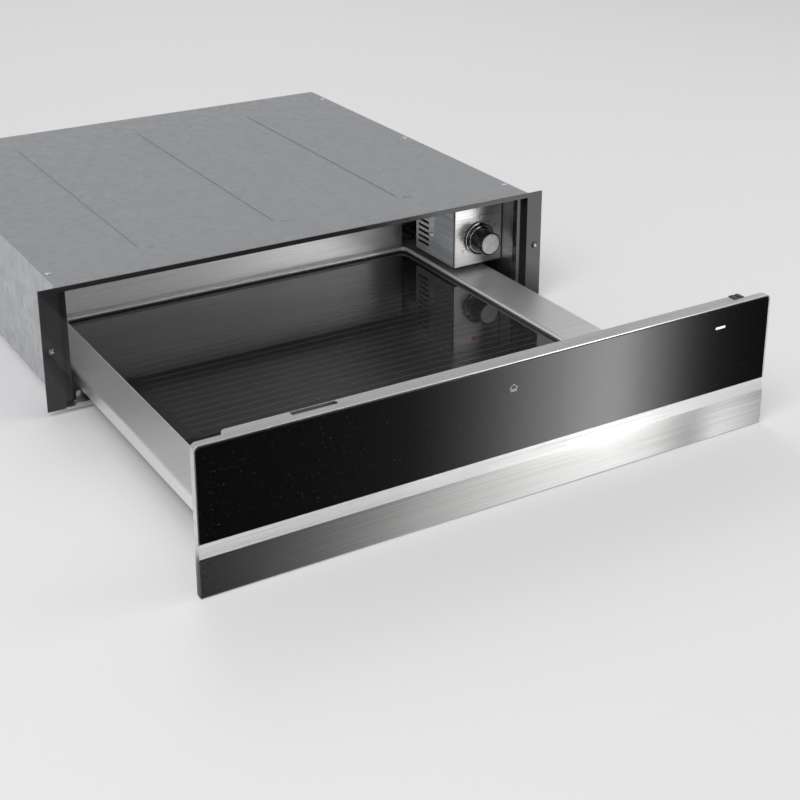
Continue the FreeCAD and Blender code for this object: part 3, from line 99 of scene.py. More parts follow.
class DrawerColours(bpy.types.PropertyGroup):
    """Colours of the finishes."""

    steel: bpy.props.FloatVectorProperty(
        name="Brushed steel", description="Tray, rear wall and control box", subtype="COLOR", size=3,
        min=0.0, max=1.0, default=(0.76, 0.755, 0.745))
    bar: bpy.props.FloatVectorProperty(
        name="Bar steel", description="Lower bar and strip of the front", subtype="COLOR", size=3,
        min=0.0, max=1.0, default=(0.62, 0.62, 0.61))
    zinc: bpy.props.FloatVectorProperty(
        name="Galvanised sheet", description="Housing sheets", subtype="COLOR", size=3,
        min=0.0, max=1.0, default=(0.56, 0.57, 0.58))
    frame_grey: bpy.props.FloatVectorProperty(
        name="Frame", description="Glossy dark frame of the housing", subtype="COLOR", size=3,
        min=0.0, max=1.0, default=(0.022, 0.022, 0.024))
    front_black: bpy.props.FloatVectorProperty(
        name="Front glass", description="Black behind the front glass", subtype="COLOR", size=3,
        min=0.0, max=1.0, default=(0.004, 0.004, 0.0045))
    plate_dark: bpy.props.FloatVectorProperty(
        name="Heated glass", description="Dark glass plate of the drawer's floor", subtype="COLOR", size=3,
        min=0.0, max=1.0, default=(0.020, 0.019, 0.020))
    lamp_red: bpy.props.FloatVectorProperty(
        name="Lamp", description="Red lens of the lamp", subtype="COLOR", size=3,
        min=0.0, max=1.0, default=(0.50, 0.012, 0.012))


class DrawerSizes(bpy.types.PropertyGroup):
    """Sizes of the small shapes."""

    edge: bpy.props.FloatProperty(
        name="Sheet edge", description="Rounding of the edges of folded sheet", unit="LENGTH",
        min=0.00005, max=0.001, default=0.00025)
    line_pitch: bpy.props.FloatProperty(
        name="Line pitch", description="Distance between the lines printed on the heated glass", unit="LENGTH",
        min=0.002, max=0.03, default=0.0125)
    symbol: bpy.props.FloatProperty(
        name="Symbol", description="Height of the symbol on the front glass", unit="LENGTH",
        min=0.003, max=0.02, default=0.0074)


class DrawerStage(bpy.types.PropertyGroup):
    """Floor, lamps and camera."""

    floor: bpy.props.FloatVectorProperty(
        name="Floor", description="Colour of the floor and backdrop", subtype="COLOR", size=3,
        min=0.0, max=1.0, default=(0.80, 0.80, 0.81))
    sky: bpy.props.FloatProperty(
        name="Room light", description="Strength of the even light from all round", min=0.0, max=2.0,
        default=0.55)
    key: bpy.props.FloatProperty(
        name="Key lamp", description="Power of the large lamp above the left", unit="POWER", min=0.0,
        max=500.0, default=34.0)
    lens: bpy.props.FloatProperty(
        name="Lens", description="Focal length for a 36 mm sensor, in millimetres", min=20.0, max=200.0,
        default=68.28)


# Helpers for modelling

def colours():
    return bpy.context.scene.drawer_colours


def sizes():
    return bpy.context.scene.drawer_sizes


def clear_selection():
    for one in bpy.context.scene.objects:
        one.select_set(False)


def pick(piece):
    """Makes a piece the only one selected, and active."""
    clear_selection()
    piece.select_set(True)
    bpy.context.view_layer.objects.active = piece


def named(name):
    """Names the piece just added and its mesh."""
    piece = bpy.context.object
    piece.name = name
    piece.data.name = name
    return piece


def settle(piece):
    """Puts a piece's place, turn and size into its mesh."""
    pick(piece)
    bpy.ops.object.transform_apply(location=True, rotation=True, scale=True)
    return piece


def soften(piece, width, angle=35.0, segments=2, crease=40.0):
    """Rounds the edges sharper than an angle and shades the piece smooth below its crease angle."""
    pick(piece)
    bevel = piece.modifiers.new("edges", "BEVEL")
    bevel.width = width
    bevel.segments = segments
    bevel.limit_method = "ANGLE"
    bevel.angle_limit = math.radians(angle)
    bevel.use_clamp_overlap = True
    bevel.miter_outer = "MITER_ARC"
    bpy.ops.object.modifier_apply(modifier=bevel.name)
    bpy.ops.object.shade_smooth_by_angle(angle=math.radians(crease))
    normals = piece.modifiers.new("normals", "WEIGHTED_NORMAL")
    normals.weight = 100
    normals.keep_sharp = True
    bpy.ops.object.modifier_apply(modifier=normals.name)
    return piece


def sheet_copy(node, width=None, angle=35.0, crease=40.0, slotted=False):
    """A copy of a CAD node with softened edges, which stands for the node.

    Sheets with rows of slots keep their triangles, because joining their flat faces would lose some.
    """
    source = nodes[node]
    pick(source)
    bpy.ops.object.duplicate(linked=False)
    piece = named(node + ".soft")
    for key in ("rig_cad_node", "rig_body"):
        if key in piece:
            del piece[key]
    bpy.ops.object.mode_set(mode="EDIT")
    bpy.ops.mesh.select_all(action="SELECT")
    bpy.ops.mesh.remove_doubles(threshold=0.00001)
    if not slotted:
        bpy.ops.mesh.dissolve_limited(angle_limit=math.radians(1.0))
    bpy.ops.object.mode_set(mode="OBJECT")
    soften(piece, width or sizes().edge, angle, 2, crease)
    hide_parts(node)
    return piece


def finish_piece(piece, body, material):
    """Gives a piece its material and its body."""
    piece.data.materials.clear()
    piece.data.materials.append(material)
    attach(piece, body)
    return piece


def turned(name, profile, centre, axis, steps=64):
    """A round piece spun from (radius, distance) points about an axis through a centre."""
    clear_selection()
    bpy.ops.mesh.primitive_plane_add(size=0.01, location=(0, 0, 0))
    piece = named(name)
    bpy.ops.object.mode_set(mode="EDIT")
    mesh = bmesh.from_edit_mesh(piece.data)
    bmesh.ops.delete(mesh, geom=mesh.verts[:], context="VERTS")
    spots = [mesh.verts.new(Vector((radius, 0.0, along))) for radius, along in profile]
    for first, second in zip(spots, spots[1:]):
        mesh.edges.new((first, second))
    bmesh.update_edit_mesh(piece.data)
    bpy.ops.mesh.select_all(action="SELECT")
    bpy.ops.mesh.spin(steps=steps, angle=2.0 * math.pi, center=(0, 0, 0), axis=(0, 0, 1))
    bpy.ops.mesh.select_all(action="SELECT")
    bpy.ops.mesh.remove_doubles(threshold=0.00001)
    bpy.ops.mesh.normals_make_consistent(inside=False)
    bpy.ops.object.mode_set(mode="OBJECT")
    quarter = math.pi / 2.0
    piece.rotation_euler = {"-Y": (quarter, 0.0, 0.0), "X": (0.0, quarter, 0.0), "Z": (0.0, 0.0, 0.0)}[axis]
    piece.location = centre
    settle(piece)
    bpy.ops.object.shade_smooth_by_angle(angle=math.radians(35.0))
    return piece


def slab(name, centre, size, turn=(0.0, 0.0, 0.0), place=(0.0, 0.0, 0.0)):
    """A box about a centre, then turned about the origin and moved to its place."""
    clear_selection()
    bpy.ops.mesh.primitive_cube_add(size=1.0, location=centre, scale=size)
    piece = settle(named(name))
    piece.rotation_euler = turn
    piece.location = place
    return settle(piece)


def block(name, low, high, width=0.0003):
    """A box between two corners with softened edges."""
    low, high = Vector(low), Vector(high)
    return soften(slab(name, (low + high) / 2.0, high - low), width, 30.0)


def tube(name, points, radius, closed=False):
    """A round wire through points."""
    curve = bpy.data.curves.new(name, "CURVE")
    curve.dimensions = "3D"
    spline = curve.splines.new("POLY")
    spline.points.add(len(points) - 1)
    for spot, point in zip(spline.points, points):
        spot.co = (*point, 1.0)
    spline.use_cyclic_u = closed
    curve.bevel_depth = radius
    curve.bevel_resolution = 2
    piece = bpy.data.objects.new(name, curve)
    bpy.context.scene.collection.objects.link(piece)
    pick(piece)
    bpy.ops.object.convert(target="MESH")
    bpy.ops.object.shade_smooth_by_angle(angle=math.radians(50.0))
    return named(name)


def rounded_path(low, high, radius, z, steps=8):
    """Points round a rectangle with rounded corners, at one height."""
    points = []
    left, right = low[0] + radius, high[0] - radius
    near, far = low[1] + radius, high[1] - radius
    for corner, (cx, cy) in enumerate(((right, far), (left, far), (left, near), (right, near))):
        for step in range(steps + 1):
            turn = math.pi / 2.0 * (corner + step / steps)
            points.append((cx + radius * math.cos(turn), cy + radius * math.sin(turn), z))
    return points


def joined(name, parts):
    """Several pieces as one mesh."""
    clear_selection()
    for part in parts:
        part.select_set(True)
    bpy.context.view_layer.objects.active = parts[0]
    bpy.ops.object.join()
    return named(name)


def middle_of(low, high):
    """The middle of a box in X and Z."""
    return (low.x + high.x) / 2.0, (low.z + high.z) / 2.0


def cut_out(piece, cutter):
    """Cuts one piece out of another with the boolean modifier."""
    pick(piece)
    cut = piece.modifiers.new("cut", "BOOLEAN")
    cut.object = cutter
    cut.operation = "DIFFERENCE"
    cut.solver = "EXACT"
    bpy.ops.object.modifier_apply(modifier=cut.name)
    bpy.data.objects.remove(cutter)
    return piece


# Shader groups

def group(name, inputs, outputs):
    """A new shader group with named sockets, and its two end nodes."""
    tree = bpy.data.node_groups.new(name, "ShaderNodeTree")
    for label, kind, value in inputs:
        socket = tree.interface.new_socket(label, in_out="INPUT", socket_type="NodeSocket" + kind)
        socket.default_value = value
    for label, kind in outputs:
        tree.interface.new_socket(label, in_out="OUTPUT", socket_type="NodeSocket" + kind)
    return tree, tree.nodes.new("NodeGroupInput"), tree.nodes.new("NodeGroupOutput")


def fill(tree, node, values):
    """Fills a node's inputs with numbers or links."""
    for key, value in values.items():
        if isinstance(value, bpy.types.NodeSocket):
            tree.links.new(value, node.inputs[key])
        else:
            node.inputs[key].default_value = value
    return node


def wire(tree, kind, values=None, **settings):
    """Adds a node, sets its options and fills its inputs with numbers or links."""
    node = tree.nodes.new("ShaderNode" + kind)
    for key, value in settings.items():
        setattr(node, key, value)
    return fill(tree, node, values or {})


def calc(tree, operation, *values):
    """A Math node on numbers or sockets, and its result's socket."""
    return wire(tree, "Math", dict(enumerate(values)), operation=operation).outputs[0]


def stretched_noise(tree, stretch, scale, detail):
    """Noise on the object's own place, drawn out along some axes."""
    place = wire(tree, "TexCoord").outputs["Object"]
    moved = wire(tree, "VectorMath", {0: place, 1: stretch}, operation="MULTIPLY").outputs["Vector"]
    return wire(tree, "TexNoise", {"Vector": moved, "Scale": scale, "Detail": detail}).outputs["Fac"]


def blend_colours(tree, factor, first, second, mode="MIX"):
    """Mixes two colours and gives the result's socket."""
    node = tree.nodes.new("ShaderNodeMix")
    node.data_type = "RGBA"
    node.blend_type = mode
    return fill(tree, node, {0: factor, 6: first, 7: second}).outputs[2]


def ranged(tree, value, low, high, to_low, to_high):
    """Moves a value from one range to another."""
    return wire(tree, "MapRange", {"Value": value, "From Min": low, "From Max": high, "To Min": to_low,
                                   "To Max": to_high}).outputs["Result"]


def between(tree, share, first, second):
    """Goes from a first to a second brightness with a share."""
    return calc(tree, "MULTIPLY_ADD", calc(tree, "SUBTRACT", second, first), share, first)


def brushed_group():
    """Grain of brushed sheet: fine lines along one axis, with slow patches of rougher brushing."""
    tree, start, end = group(
        "Brushed grain",
        [("Colour", "Color", (0.6, 0.6, 0.6, 1.0)), ("Stretch", "Vector", (1.0, 1.0, 1.0)),
         ("Shade", "Float", 0.3), ("Roughness", "Float", 0.3), ("Spread", "Float", 0.1)],
        [("Colour", "Color"), ("Roughness", "Float"), ("Height", "Float")])
    sock = start.outputs
    fine = stretched_noise(tree, sock["Stretch"], 1.0, 2.0)
    coarse = stretched_noise(tree, sock["Stretch"], 0.31, 1.0)
    patches = stretched_noise(tree, evenly, 14.0, 3.0)
    lines = ranged(tree, calc(tree, "ADD", fine, coarse), 0.72, 1.28, 0.0, 1.0)
    dark = calc(tree, "MULTIPLY", lines, sock["Shade"])
    darker = blend_colours(tree, dark, sock["Colour"], (0.10, 0.10, 0.11, 1.0))
    soft = ranged(tree, patches, 0.3, 0.7, 0.0, 0.10)
    tinted = blend_colours(tree, soft, darker, (0.80, 0.80, 0.82, 1.0))
    swing = calc(tree, "SUBTRACT", lines, 0.5)
    rough = calc(tree, "MULTIPLY_ADD", swing, sock["Spread"], sock["Roughness"])
    worn = calc(tree, "MULTIPLY_ADD", soft, 0.6, rough)
    fill(tree, end, {"Colour": tinted, "Roughness": worn, "Height": lines})
    return tree


def handled_group():
    """Traces of handling: faint smears and specks of dust on a glossy face."""
    tree, start, end = group(
        "Smears and dust",
        [("Roughness", "Float", 0.05), ("Smear", "Float", 0.05), ("Scale", "Float", 20.0)],
        [("Roughness", "Float"), ("Dust", "Float")])
    sock = start.outputs
    smear = stretched_noise(tree, evenly, sock["Scale"], 4.0)
    smear = ranged(tree, smear, 0.45, 0.75, 0.0, 1.0)
    rough = calc(tree, "MULTIPLY_ADD", smear, sock["Smear"], sock["Roughness"])
    specks = stretched_noise(tree, evenly, 900.0, 1.0)
    specks = ranged(tree, specks, 0.74, 0.80, 0.0, 1.0)
    fill(tree, end, {"Roughness": rough, "Dust": specks})
    return tree


def spangle_group():
    """Zinc crystals of galvanised sheet."""
    tree, start, end = group(
        "Zinc spangle",
        [("Colour", "Color", (0.56, 0.57, 0.58, 1.0)), ("Scale", "Float", 120.0), ("Contrast", "Float", 0.25)],
        [("Colour", "Color"), ("Roughness", "Float"), ("Height", "Float")])
    sock = start.outputs
    place = wire(tree, "TexCoord").outputs["Object"]
    warp = wire(tree, "TexNoise", {"Vector": place, "Scale": 60.0, "Detail": 2.0}).outputs["Color"]
    bent = wire(tree, "VectorMath", {0: warp, 1: (0.012, 0.012, 0.012), 2: place},
                operation="MULTIPLY_ADD").outputs["Vector"]
    cells = wire(tree, "TexVoronoi", {"Vector": bent, "Scale": sock["Scale"]})
    grey = wire(tree, "RGBToBW", {"Color": cells.outputs["Color"]}).outputs["Val"]
    shade = calc(tree, "MULTIPLY", grey, sock["Contrast"])
    colour = blend_colours(tree, shade, sock["Colour"], (0.24, 0.25, 0.27, 1.0))
    fill(tree, end, {"Colour": colour, "Roughness": ranged(tree, grey, 0.0, 1.0, 0.26, 0.46), "Height": grey})
    return tree


def moulded_group():
    """Fine grain of moulded plastic, rubber or paint."""
    tree, start, end = group(
        "Moulded grain",
        [("Colour", "Color", (0.03, 0.03, 0.03, 1.0)), ("Scale", "Float", 600.0), ("Roughness", "Float", 0.4),
         ("Spread", "Float", 0.12), ("Pale", "Float", 0.10)],
        [("Colour", "Color"), ("Roughness", "Float"), ("Height", "Float")])
    sock = start.outputs
    grain = stretched_noise(tree, evenly, sock["Scale"], 2.0)
    flow = stretched_noise(tree, evenly, 18.0, 3.0)
    pale = ranged(tree, flow, 0.35, 0.75, 0.0, sock["Pale"])
    colour = blend_colours(tree, pale, sock["Colour"], (0.45, 0.45, 0.45, 1.0))
    rough = calc(tree, "MULTIPLY_ADD", flow, sock["Spread"], sock["Roughness"])
    fill(tree, end, {"Colour": colour, "Roughness": rough, "Height": grain})
    return tree


def lines_group():
    """Thin lines printed across the heated glass, inside a plain border."""
    tree, start, end = group(
        "Printed lines",
        [("Ground", "Color", (0.02, 0.02, 0.02, 1.0)), ("Line", "Color", (0.2, 0.2, 0.2, 1.0)),
         ("Pitch", "Float", 0.0125), ("Width", "Float", 0.0005), ("Middle X", "Float", 0.0),
         ("Half X", "Float", 0.2), ("Middle Y", "Float", 0.0), ("Half Y", "Float", 0.2)],
        [("Colour", "Color"), ("Mask", "Float")])
    sock = start.outputs
    place = wire(tree, "SeparateXYZ", {0: wire(tree, "TexCoord").outputs["Object"]}).outputs

    def within(value, middle, half):
        apart = calc(tree, "ABSOLUTE", calc(tree, "SUBTRACT", value, middle))
        return calc(tree, "LESS_THAN", apart, half)

    shifted = calc(tree, "PINGPONG", place["Y"], sock["Pitch"])
    line = calc(tree, "LESS_THAN", shifted, sock["Width"])
    for name in ("X", "Y"):
        inside = within(place[name], sock["Middle " + name], sock["Half " + name])
        line = calc(tree, "MULTIPLY", line, inside)
    fill(tree, end, {"Colour": blend_colours(tree, line, sock["Ground"], sock["Line"]), "Mask": line})
    return tree


def fibre_group():
    """Matted fibres of mineral wool or felt."""
    tree, start, end = group(
        "Matted fibres",
        [("Colour", "Color", (0.7, 0.66, 0.55, 1.0)), ("Scale", "Float", 260.0)],
        [("Colour", "Color"), ("Height", "Float")])
    sock = start.outputs
    first = stretched_noise(tree, (1.0, 4.0, 2.0), sock["Scale"], 3.0)
    second = stretched_noise(tree, (4.0, 1.0, 2.0), sock["Scale"], 3.0)
    mix = calc(tree, "ADD", first, second)
    shade = ranged(tree, mix, 0.7, 1.3, 0.0, 0.5)
    fill(tree, end, {"Colour": blend_colours(tree, shade, sock["Colour"], (0.30, 0.27, 0.20, 1.0)),
                     "Height": mix})
    return tree


# Materials

def new_material(name):
    """A material with one Principled BSDF, and its tree and shader."""
    material = bpy.data.materials.new(name)
    material.use_nodes = True
    tree = material.node_tree
    return material, tree, tree.nodes["Principled BSDF"]


def use(tree, name, values):
    """Places one of the shared groups."""
    node = tree.nodes.new("ShaderNodeGroup")
    node.node_tree = bpy.data.node_groups[name]
    return fill(tree, node, values).outputs


def raise_bump(tree, shader, height, depth):
    """Feeds a height to the shader as a bump of a depth in metres."""
    bump = wire(tree, "Bump", {"Height": height, "Strength": 1.0, "Distance": depth})
    fill(tree, shader, {"Normal": bump.outputs["Normal"]})


def feed(tree, shader, effect, depth):
    """Feeds the colour, roughness and height of a shared group to the shader."""
    fill(tree, shader, {"Base Color": effect["Colour"], "Roughness": effect["Roughness"]})
    raise_bump(tree, shader, effect["Height"], depth)


def rgba(colour):
    return (colour[0], colour[1], colour[2], 1.0)


def brushed(name, colour, stretch, shade, roughness, spread, depth, metal=1.0):
    """Brushed metal with its grain along the axis whose stretch is small."""
    material, tree, shader = new_material(name)
    grain = use(tree, "Brushed grain", {"Colour": rgba(colour), "Stretch": stretch, "Shade": shade,
                                        "Roughness": roughness, "Spread": spread})
    feed(tree, shader, grain, depth)
    fill(tree, shader, {"Metallic": metal})
    return material


def plated(name, colour, scale, contrast):
    """Galvanised or plated sheet."""
    material, tree, shader = new_material(name)
    zinc = use(tree, "Zinc spangle", {"Colour": rgba(colour), "Scale": scale, "Contrast": contrast})
    feed(tree, shader, zinc, 0.000004)
    fill(tree, shader, {"Metallic": 1.0})
    return material


def moulded(name, colour, roughness, scale=600.0, depth=0.00001, metallic=0.0, coat=0.0, spread=0.12,
            pale=0.10):
    """Moulded plastic, rubber or paint."""
    material, tree, shader = new_material(name)
    grain = use(tree, "Moulded grain", {"Colour": rgba(colour), "Scale": scale, "Roughness": roughness,
                                        "Spread": spread, "Pale": pale})
    feed(tree, shader, grain, depth)
    fill(tree, shader, {"Metallic": metallic, "Coat Weight": coat, "Coat Roughness": 0.04})
    return material


def glossy_dark(name, colour, roughness, smear):
    """Dark glass seen from its polished side, or a glossy enamel."""
    material, tree, shader = new_material(name)
    traces = use(tree, "Smears and dust", {"Roughness": roughness, "Smear": smear, "Scale": 16.0})
    dusty = blend_colours(tree, traces["Dust"], rgba(colour), (0.12, 0.12, 0.12, 1.0))
    fill(tree, shader, {"Base Color": dusty, "Roughness": traces["Roughness"], "IOR": 1.5})
    return material


def heated_glass(name, colour):
    """Dark glass with thin printed lines across it."""
    material, tree, shader = new_material(name)
    low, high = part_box("heating_plate")
    middle, half = (low + high) / 2.0, (high - low) / 2.0
    traces = use(tree, "Smears and dust", {"Roughness": 0.045, "Smear": 0.04, "Scale": 12.0})
    print_ = use(tree, "Printed lines", {
        "Ground": rgba(colour), "Line": (0.042, 0.041, 0.041, 1.0), "Pitch": sizes().line_pitch / 2.0,
        "Width": 0.0011, "Middle X": middle.x, "Half X": half.x - 0.016, "Middle Y": middle.y,
        "Half Y": half.y - 0.016})
    rough = calc(tree, "MULTIPLY_ADD", print_["Mask"], 0.05, traces["Roughness"])
    fill(tree, shader, {"Base Color": print_["Colour"], "Roughness": rough, "IOR": 1.7})
    return material


def wool(name, colour):
    """Mineral wool."""
    material, tree, shader = new_material(name)
    felt = use(tree, "Matted fibres", {"Colour": rgba(colour), "Scale": 260.0})
    fill(tree, shader, {"Base Color": felt["Colour"], "Roughness": 0.95})
    raise_bump(tree, shader, felt["Height"], 0.0006)
    return material


def lens(name, colour, glow, strength):
    """Plastic lens with a faint glow of its own."""
    material, tree, shader = new_material(name)
    grain = use(tree, "Moulded grain", {"Colour": rgba(colour), "Scale": 300.0, "Roughness": 0.08,
                                        "Spread": 0.05})
    feed(tree, shader, grain, 0.000004)
    fill(tree, shader, {"Coat Weight": 0.5, "Emission Color": rgba(glow), "Emission Strength": strength})
    return material


def material(name):
    return bpy.data.materials[name]


class DRAWER_OT_finishes(bpy.types.Operator):
    """Makes the shader groups and all the materials."""

    bl_idname = "drawer.finishes"
    bl_label = "Finishes"

    def execute(self, context):
        for make in (brushed_group, handled_group, spangle_group, moulded_group, lines_group, fibre_group):
            make()
        c = colours()
        brushed("Tray steel", c.steel, (14.0, 1600.0, 1600.0), 0.14, 0.36, 0.10, 0.000002, 0.82)
        brushed("Wall steel", c.steel, (12.0, 1400.0, 1700.0), 0.22, 0.34, 0.12, 0.000003, 0.88)
        brushed("Box steel", (0.66, 0.655, 0.645), (16.0, 1500.0, 1500.0), 0.14, 0.28, 0.12, 0.000003)
        brushed("Bar steel", c.bar, (9.0, 1800.0, 1500.0), 0.20, 0.20, 0.10, 0.0000015)
        brushed("Ceiling steel", (0.52, 0.52, 0.53), (10.0, 500.0, 500.0), 0.30, 0.38, 0.10, 0.000003)
        brushed("Rim metal", (0.66, 0.66, 0.67), (60.0, 60.0, 900.0), 0.15, 0.34, 0.08, 0.000002)
        brushed("Inlay metal", (0.34, 0.34, 0.35), (900.0, 900.0, 700.0), 0.25, 0.44, 0.10, 0.000002)
        brushed("Motor steel", (0.40, 0.40, 0.41), (30.0, 600.0, 600.0), 0.35, 0.40, 0.12, 0.000004)
        brushed("Cage steel", (0.50, 0.50, 0.50), (900.0, 12.0, 900.0), 0.25, 0.30, 0.10, 0.000002)
        brushed("Slide steel", (0.60, 0.61, 0.62), (1200.0, 9.0, 1200.0), 0.22, 0.28, 0.10, 0.000002)
        brushed("Heater wire", (0.36, 0.30, 0.26), (50.0, 700.0, 700.0), 0.45, 0.45, 0.15, 0.000006)
        brushed("Chrome", (0.82, 0.82, 0.83), (300.0, 40.0, 300.0), 0.05, 0.06, 0.04, 0.0000005)
        # Dark chrome also colours the flange screw heads, where its darkness is painted shade
        brushed("Dark chrome", (0.055, 0.055, 0.06), (300.0, 40.0, 300.0), 0.05, 0.07, 0.04, 0.0000005)
        # Near-white and mostly diffuse: a painted highlight on the recess bead and a painted glint in the screw
        # recesses
        brushed("Bright bead", (0.94, 0.94, 0.94), (60.0, 60.0, 900.0), 0.02, 0.30, 0.06, 0.0000002, 0.35)
        brushed("Plate metal", (0.62, 0.66, 0.70), (900.0, 12.0, 900.0), 0.40, 0.42, 0.18, 0.000002, 0.7)
        plated("Galvanised", c.zinc, 95.0, 0.30)
        plated("Zinc plated", (0.66, 0.66, 0.67), 420.0, 0.18)
        plated("Foil", (0.76, 0.76, 0.77), 60.0, 0.10)
        moulded("Black plastic", (0.020, 0.020, 0.022), 0.34, 900.0, 0.000012)
        moulded("Dark plastic", (0.06, 0.06, 0.065), 0.42, 700.0, 0.00002)
        moulded("White plastic", (0.80, 0.79, 0.76), 0.40, 600.0, 0.000012)
        moulded("Black rubber", (0.026, 0.026, 0.026), 0.62, 500.0, 0.00003)
        moulded("Knob black", (0.006, 0.006, 0.006), 0.03, 700.0, 0.000001, spread=0.03, pale=0.01)
        moulded("Board green", (0.03, 0.17, 0.08), 0.30, 400.0, 0.00001, coat=0.4)
        moulded("Grey sheet", (0.50, 0.50, 0.51), 0.36, 300.0, 0.000004, metallic=0.7)
        moulded("Print white", (0.80, 0.80, 0.80), 0.45, 800.0, 0.000002)
        moulded("Print dark", (0.03, 0.03, 0.03), 0.45, 800.0, 0.000002)
        glossy_dark("Frame enamel", c.frame_grey, 0.04, 0.04)
        glossy_dark("Front glass black", c.front_black, 0.012, 0.02)
        heated_glass("Heated glass", c.plate_dark)
        wool("Mineral wool", (0.70, 0.66, 0.54))
        lens("Red lens", c.lamp_red, (0.9, 0.02, 0.02), 0.50)
        lens("White lens", (0.86, 0.87, 0.88), (1.0, 1.0, 1.0), 0.55)
        return {"FINISHED"}


def stand_in(piece, node, body, finish):
    """Finishes a piece of the scene that takes the place of a CAD node."""
    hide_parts(node)
    finish_piece(piece, body, material(finish))


def dress(body, finish, slot, *names, **softening):
    """Softened copies of CAD nodes, all on one body and in one finish."""
    for node in names:
        finish_piece(sheet_copy(node, **softening), body, material(finish))


# Housing

class DRAWER_OT_housing(bpy.types.Operator):
    """Sheets, frame and screws of the housing."""

    bl_idname = "drawer.housing"
    bl_label = "Housing"

    def execute(self, context):
        dress("housing", "Galvanised", "galvanised", "housing_base", "housing_top")
        dress("housing", "Galvanised", "galvanised", "housing_back", slotted=True)
        dress("housing", "Ceiling steel", "ceiling_steel", "inner_ceiling")
        dress("housing", "Frame enamel", "anthracite", "front_frame", width=0.0004)
        dress("housing", "Slide steel", "slide_steel", "slide_bracket_left", "slide_bracket_right",
              width=0.0003)
        return {"FINISHED"}


def screw_head(name, centre, axis, radius, height, cross=0.0011):
    """A pan head with a cross recess, its flat side at the centre."""
    profile = [(0.0, 0.0), (radius, 0.0), (radius, height * 0.35), (radius * 0.93, height * 0.62),
               (radius * 0.74, height * 0.86), (radius * 0.45, height * 0.98), (0.0, height)]
    head = turned(name, profile, (0.0, 0.0, 0.0), "Z", 32)
    reach = radius * 0.56
    for angle in (0.0, math.pi / 2.0):
        cut_out(head, slab("cutter", (0.0, 0.0, height), (reach * 2.0, cross, height), (0.0, 0.0, angle)))
    head.rotation_euler = {"-Y": (math.pi / 2.0, screw_tilt, 0.0), "Z": (0.0, 0.0, 0.3),
                           "-X": (0.5, -math.pi / 2.0, 0.0)}[axis]
    head.location = centre
    settle(head)
    return soften(head, 0.00012, 40.0)


class DRAWER_OT_screws(bpy.types.Operator):
    """Screws with cross recesses: flanges, top sheet and control box."""

    bl_idname = "drawer.screws"
    bl_label = "Screws"

    def execute(self, context):
        low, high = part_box("cabinet_screws")
        z = (low.z + high.z) / 2.0
        radius, height = 0.0038, 0.0022
        heads, glint_crosses = [], []
        for x in (low.x + radius, high.x - radius):
            seat = (x, low.y + height, z)
            heads.append(screw_head("flange_screw", seat, "-Y", radius, height))
            heads.append(turned("shank", [(0.0, 0.0), (0.002, 0.0), (0.002, -0.014), (0.0016, -0.0155),
                                          (0.0, -0.018)], seat, "-Y", 24))
            # Painted glint: a bright cross inside each recess stands for the highlight on the screw head
            for turn in (0.0, math.pi / 2.0):
                floor = slab("recess_floor", (0.0, 0.0, 0.0015), (0.0040, 0.0010, 0.0003), (0.0, 0.0, turn))
                floor.rotation_euler = (math.pi / 2.0, screw_tilt, 0.0)
                floor.location = seat
                glint_crosses.append(settle(floor))
        # The flange screw heads are near-black: painted shade of the countersinks round them
        stand_in(joined("cabinet_screws.cross", heads), "cabinet_screws", "housing", "Dark chrome")
        finish_piece(joined("cabinet_screws.recess", glint_crosses), "housing", material("Bright bead"))
        low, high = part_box("top_screws")
        radius, height = 0.0036, 0.0013
        heads = []
        for x in (low.x + radius, high.x - radius):
            for y in (low.y + radius, (low.y + high.y) / 2.0, high.y - radius):
                seat = (x, y, high.z - height)
                heads.append(screw_head("top_screw", seat, "Z", radius, height))
                heads.append(turned("shank", [(0.0, 0.0), (0.0018, 0.0), (0.0018, -0.0055), (0.0, -0.007)],
                                    seat, "Z", 20))
        stand_in(joined("top_screws.cross", heads), "top_screws", "housing", "Zinc plated")
        low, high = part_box("control_box_screw")
        radius, height = 0.0032, 0.0014
        seat = (low.x + height, (low.y + high.y) / 2.0, (low.z + high.z) / 2.0)
        head = screw_head("box_screw", seat, "-X", radius, height)
        shank = turned("shank", [(0.0, 0.0), (0.0016, 0.0), (0.0016, 0.0055), (0.0, 0.007)], seat, "X", 20)
        piece = joined("control_box_screw.cross", [head, shank])
        stand_in(piece, "control_box_screw", "housing", "Zinc plated")
        return {"FINISHED"}


# Control box with its knob and lamp

class DRAWER_OT_control_box(bpy.types.Operator):
    """Control box, its bare plate, black strips of painted shade along its edges, and the blower's casing
    behind it.
    """

    bl_idname = "drawer.control_box"
    bl_label = "Control box"

    def execute(self, context):
        dress("housing", "Box steel", "brushed_steel", "control_box", slotted=True)
        low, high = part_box("control_box")
        # Painted shade: two black strips fill the gap at the box's right edge and the corner at its left edge,
        # where only shade falls
        for name, left, right, near, far in (("box_joint", high.x - 0.0012, high.x + 0.0018, -0.0005, 0.004),
                                             ("box_seam", low.x - 0.0003, low.x + 0.0003, 0.0006, 0.0024)):
            strip = block(name, (left, low.y + near, low.z), (right, low.y + far, high.z))
            finish_piece(strip, "housing", material("Black rubber"))
        dress("housing", "Plate metal", "plate_metal", "rating_plate", width=0.0001)
        dress("housing", "Galvanised", "galvanised", "blower_casing", width=0.0004)
        return {"FINISHED"}


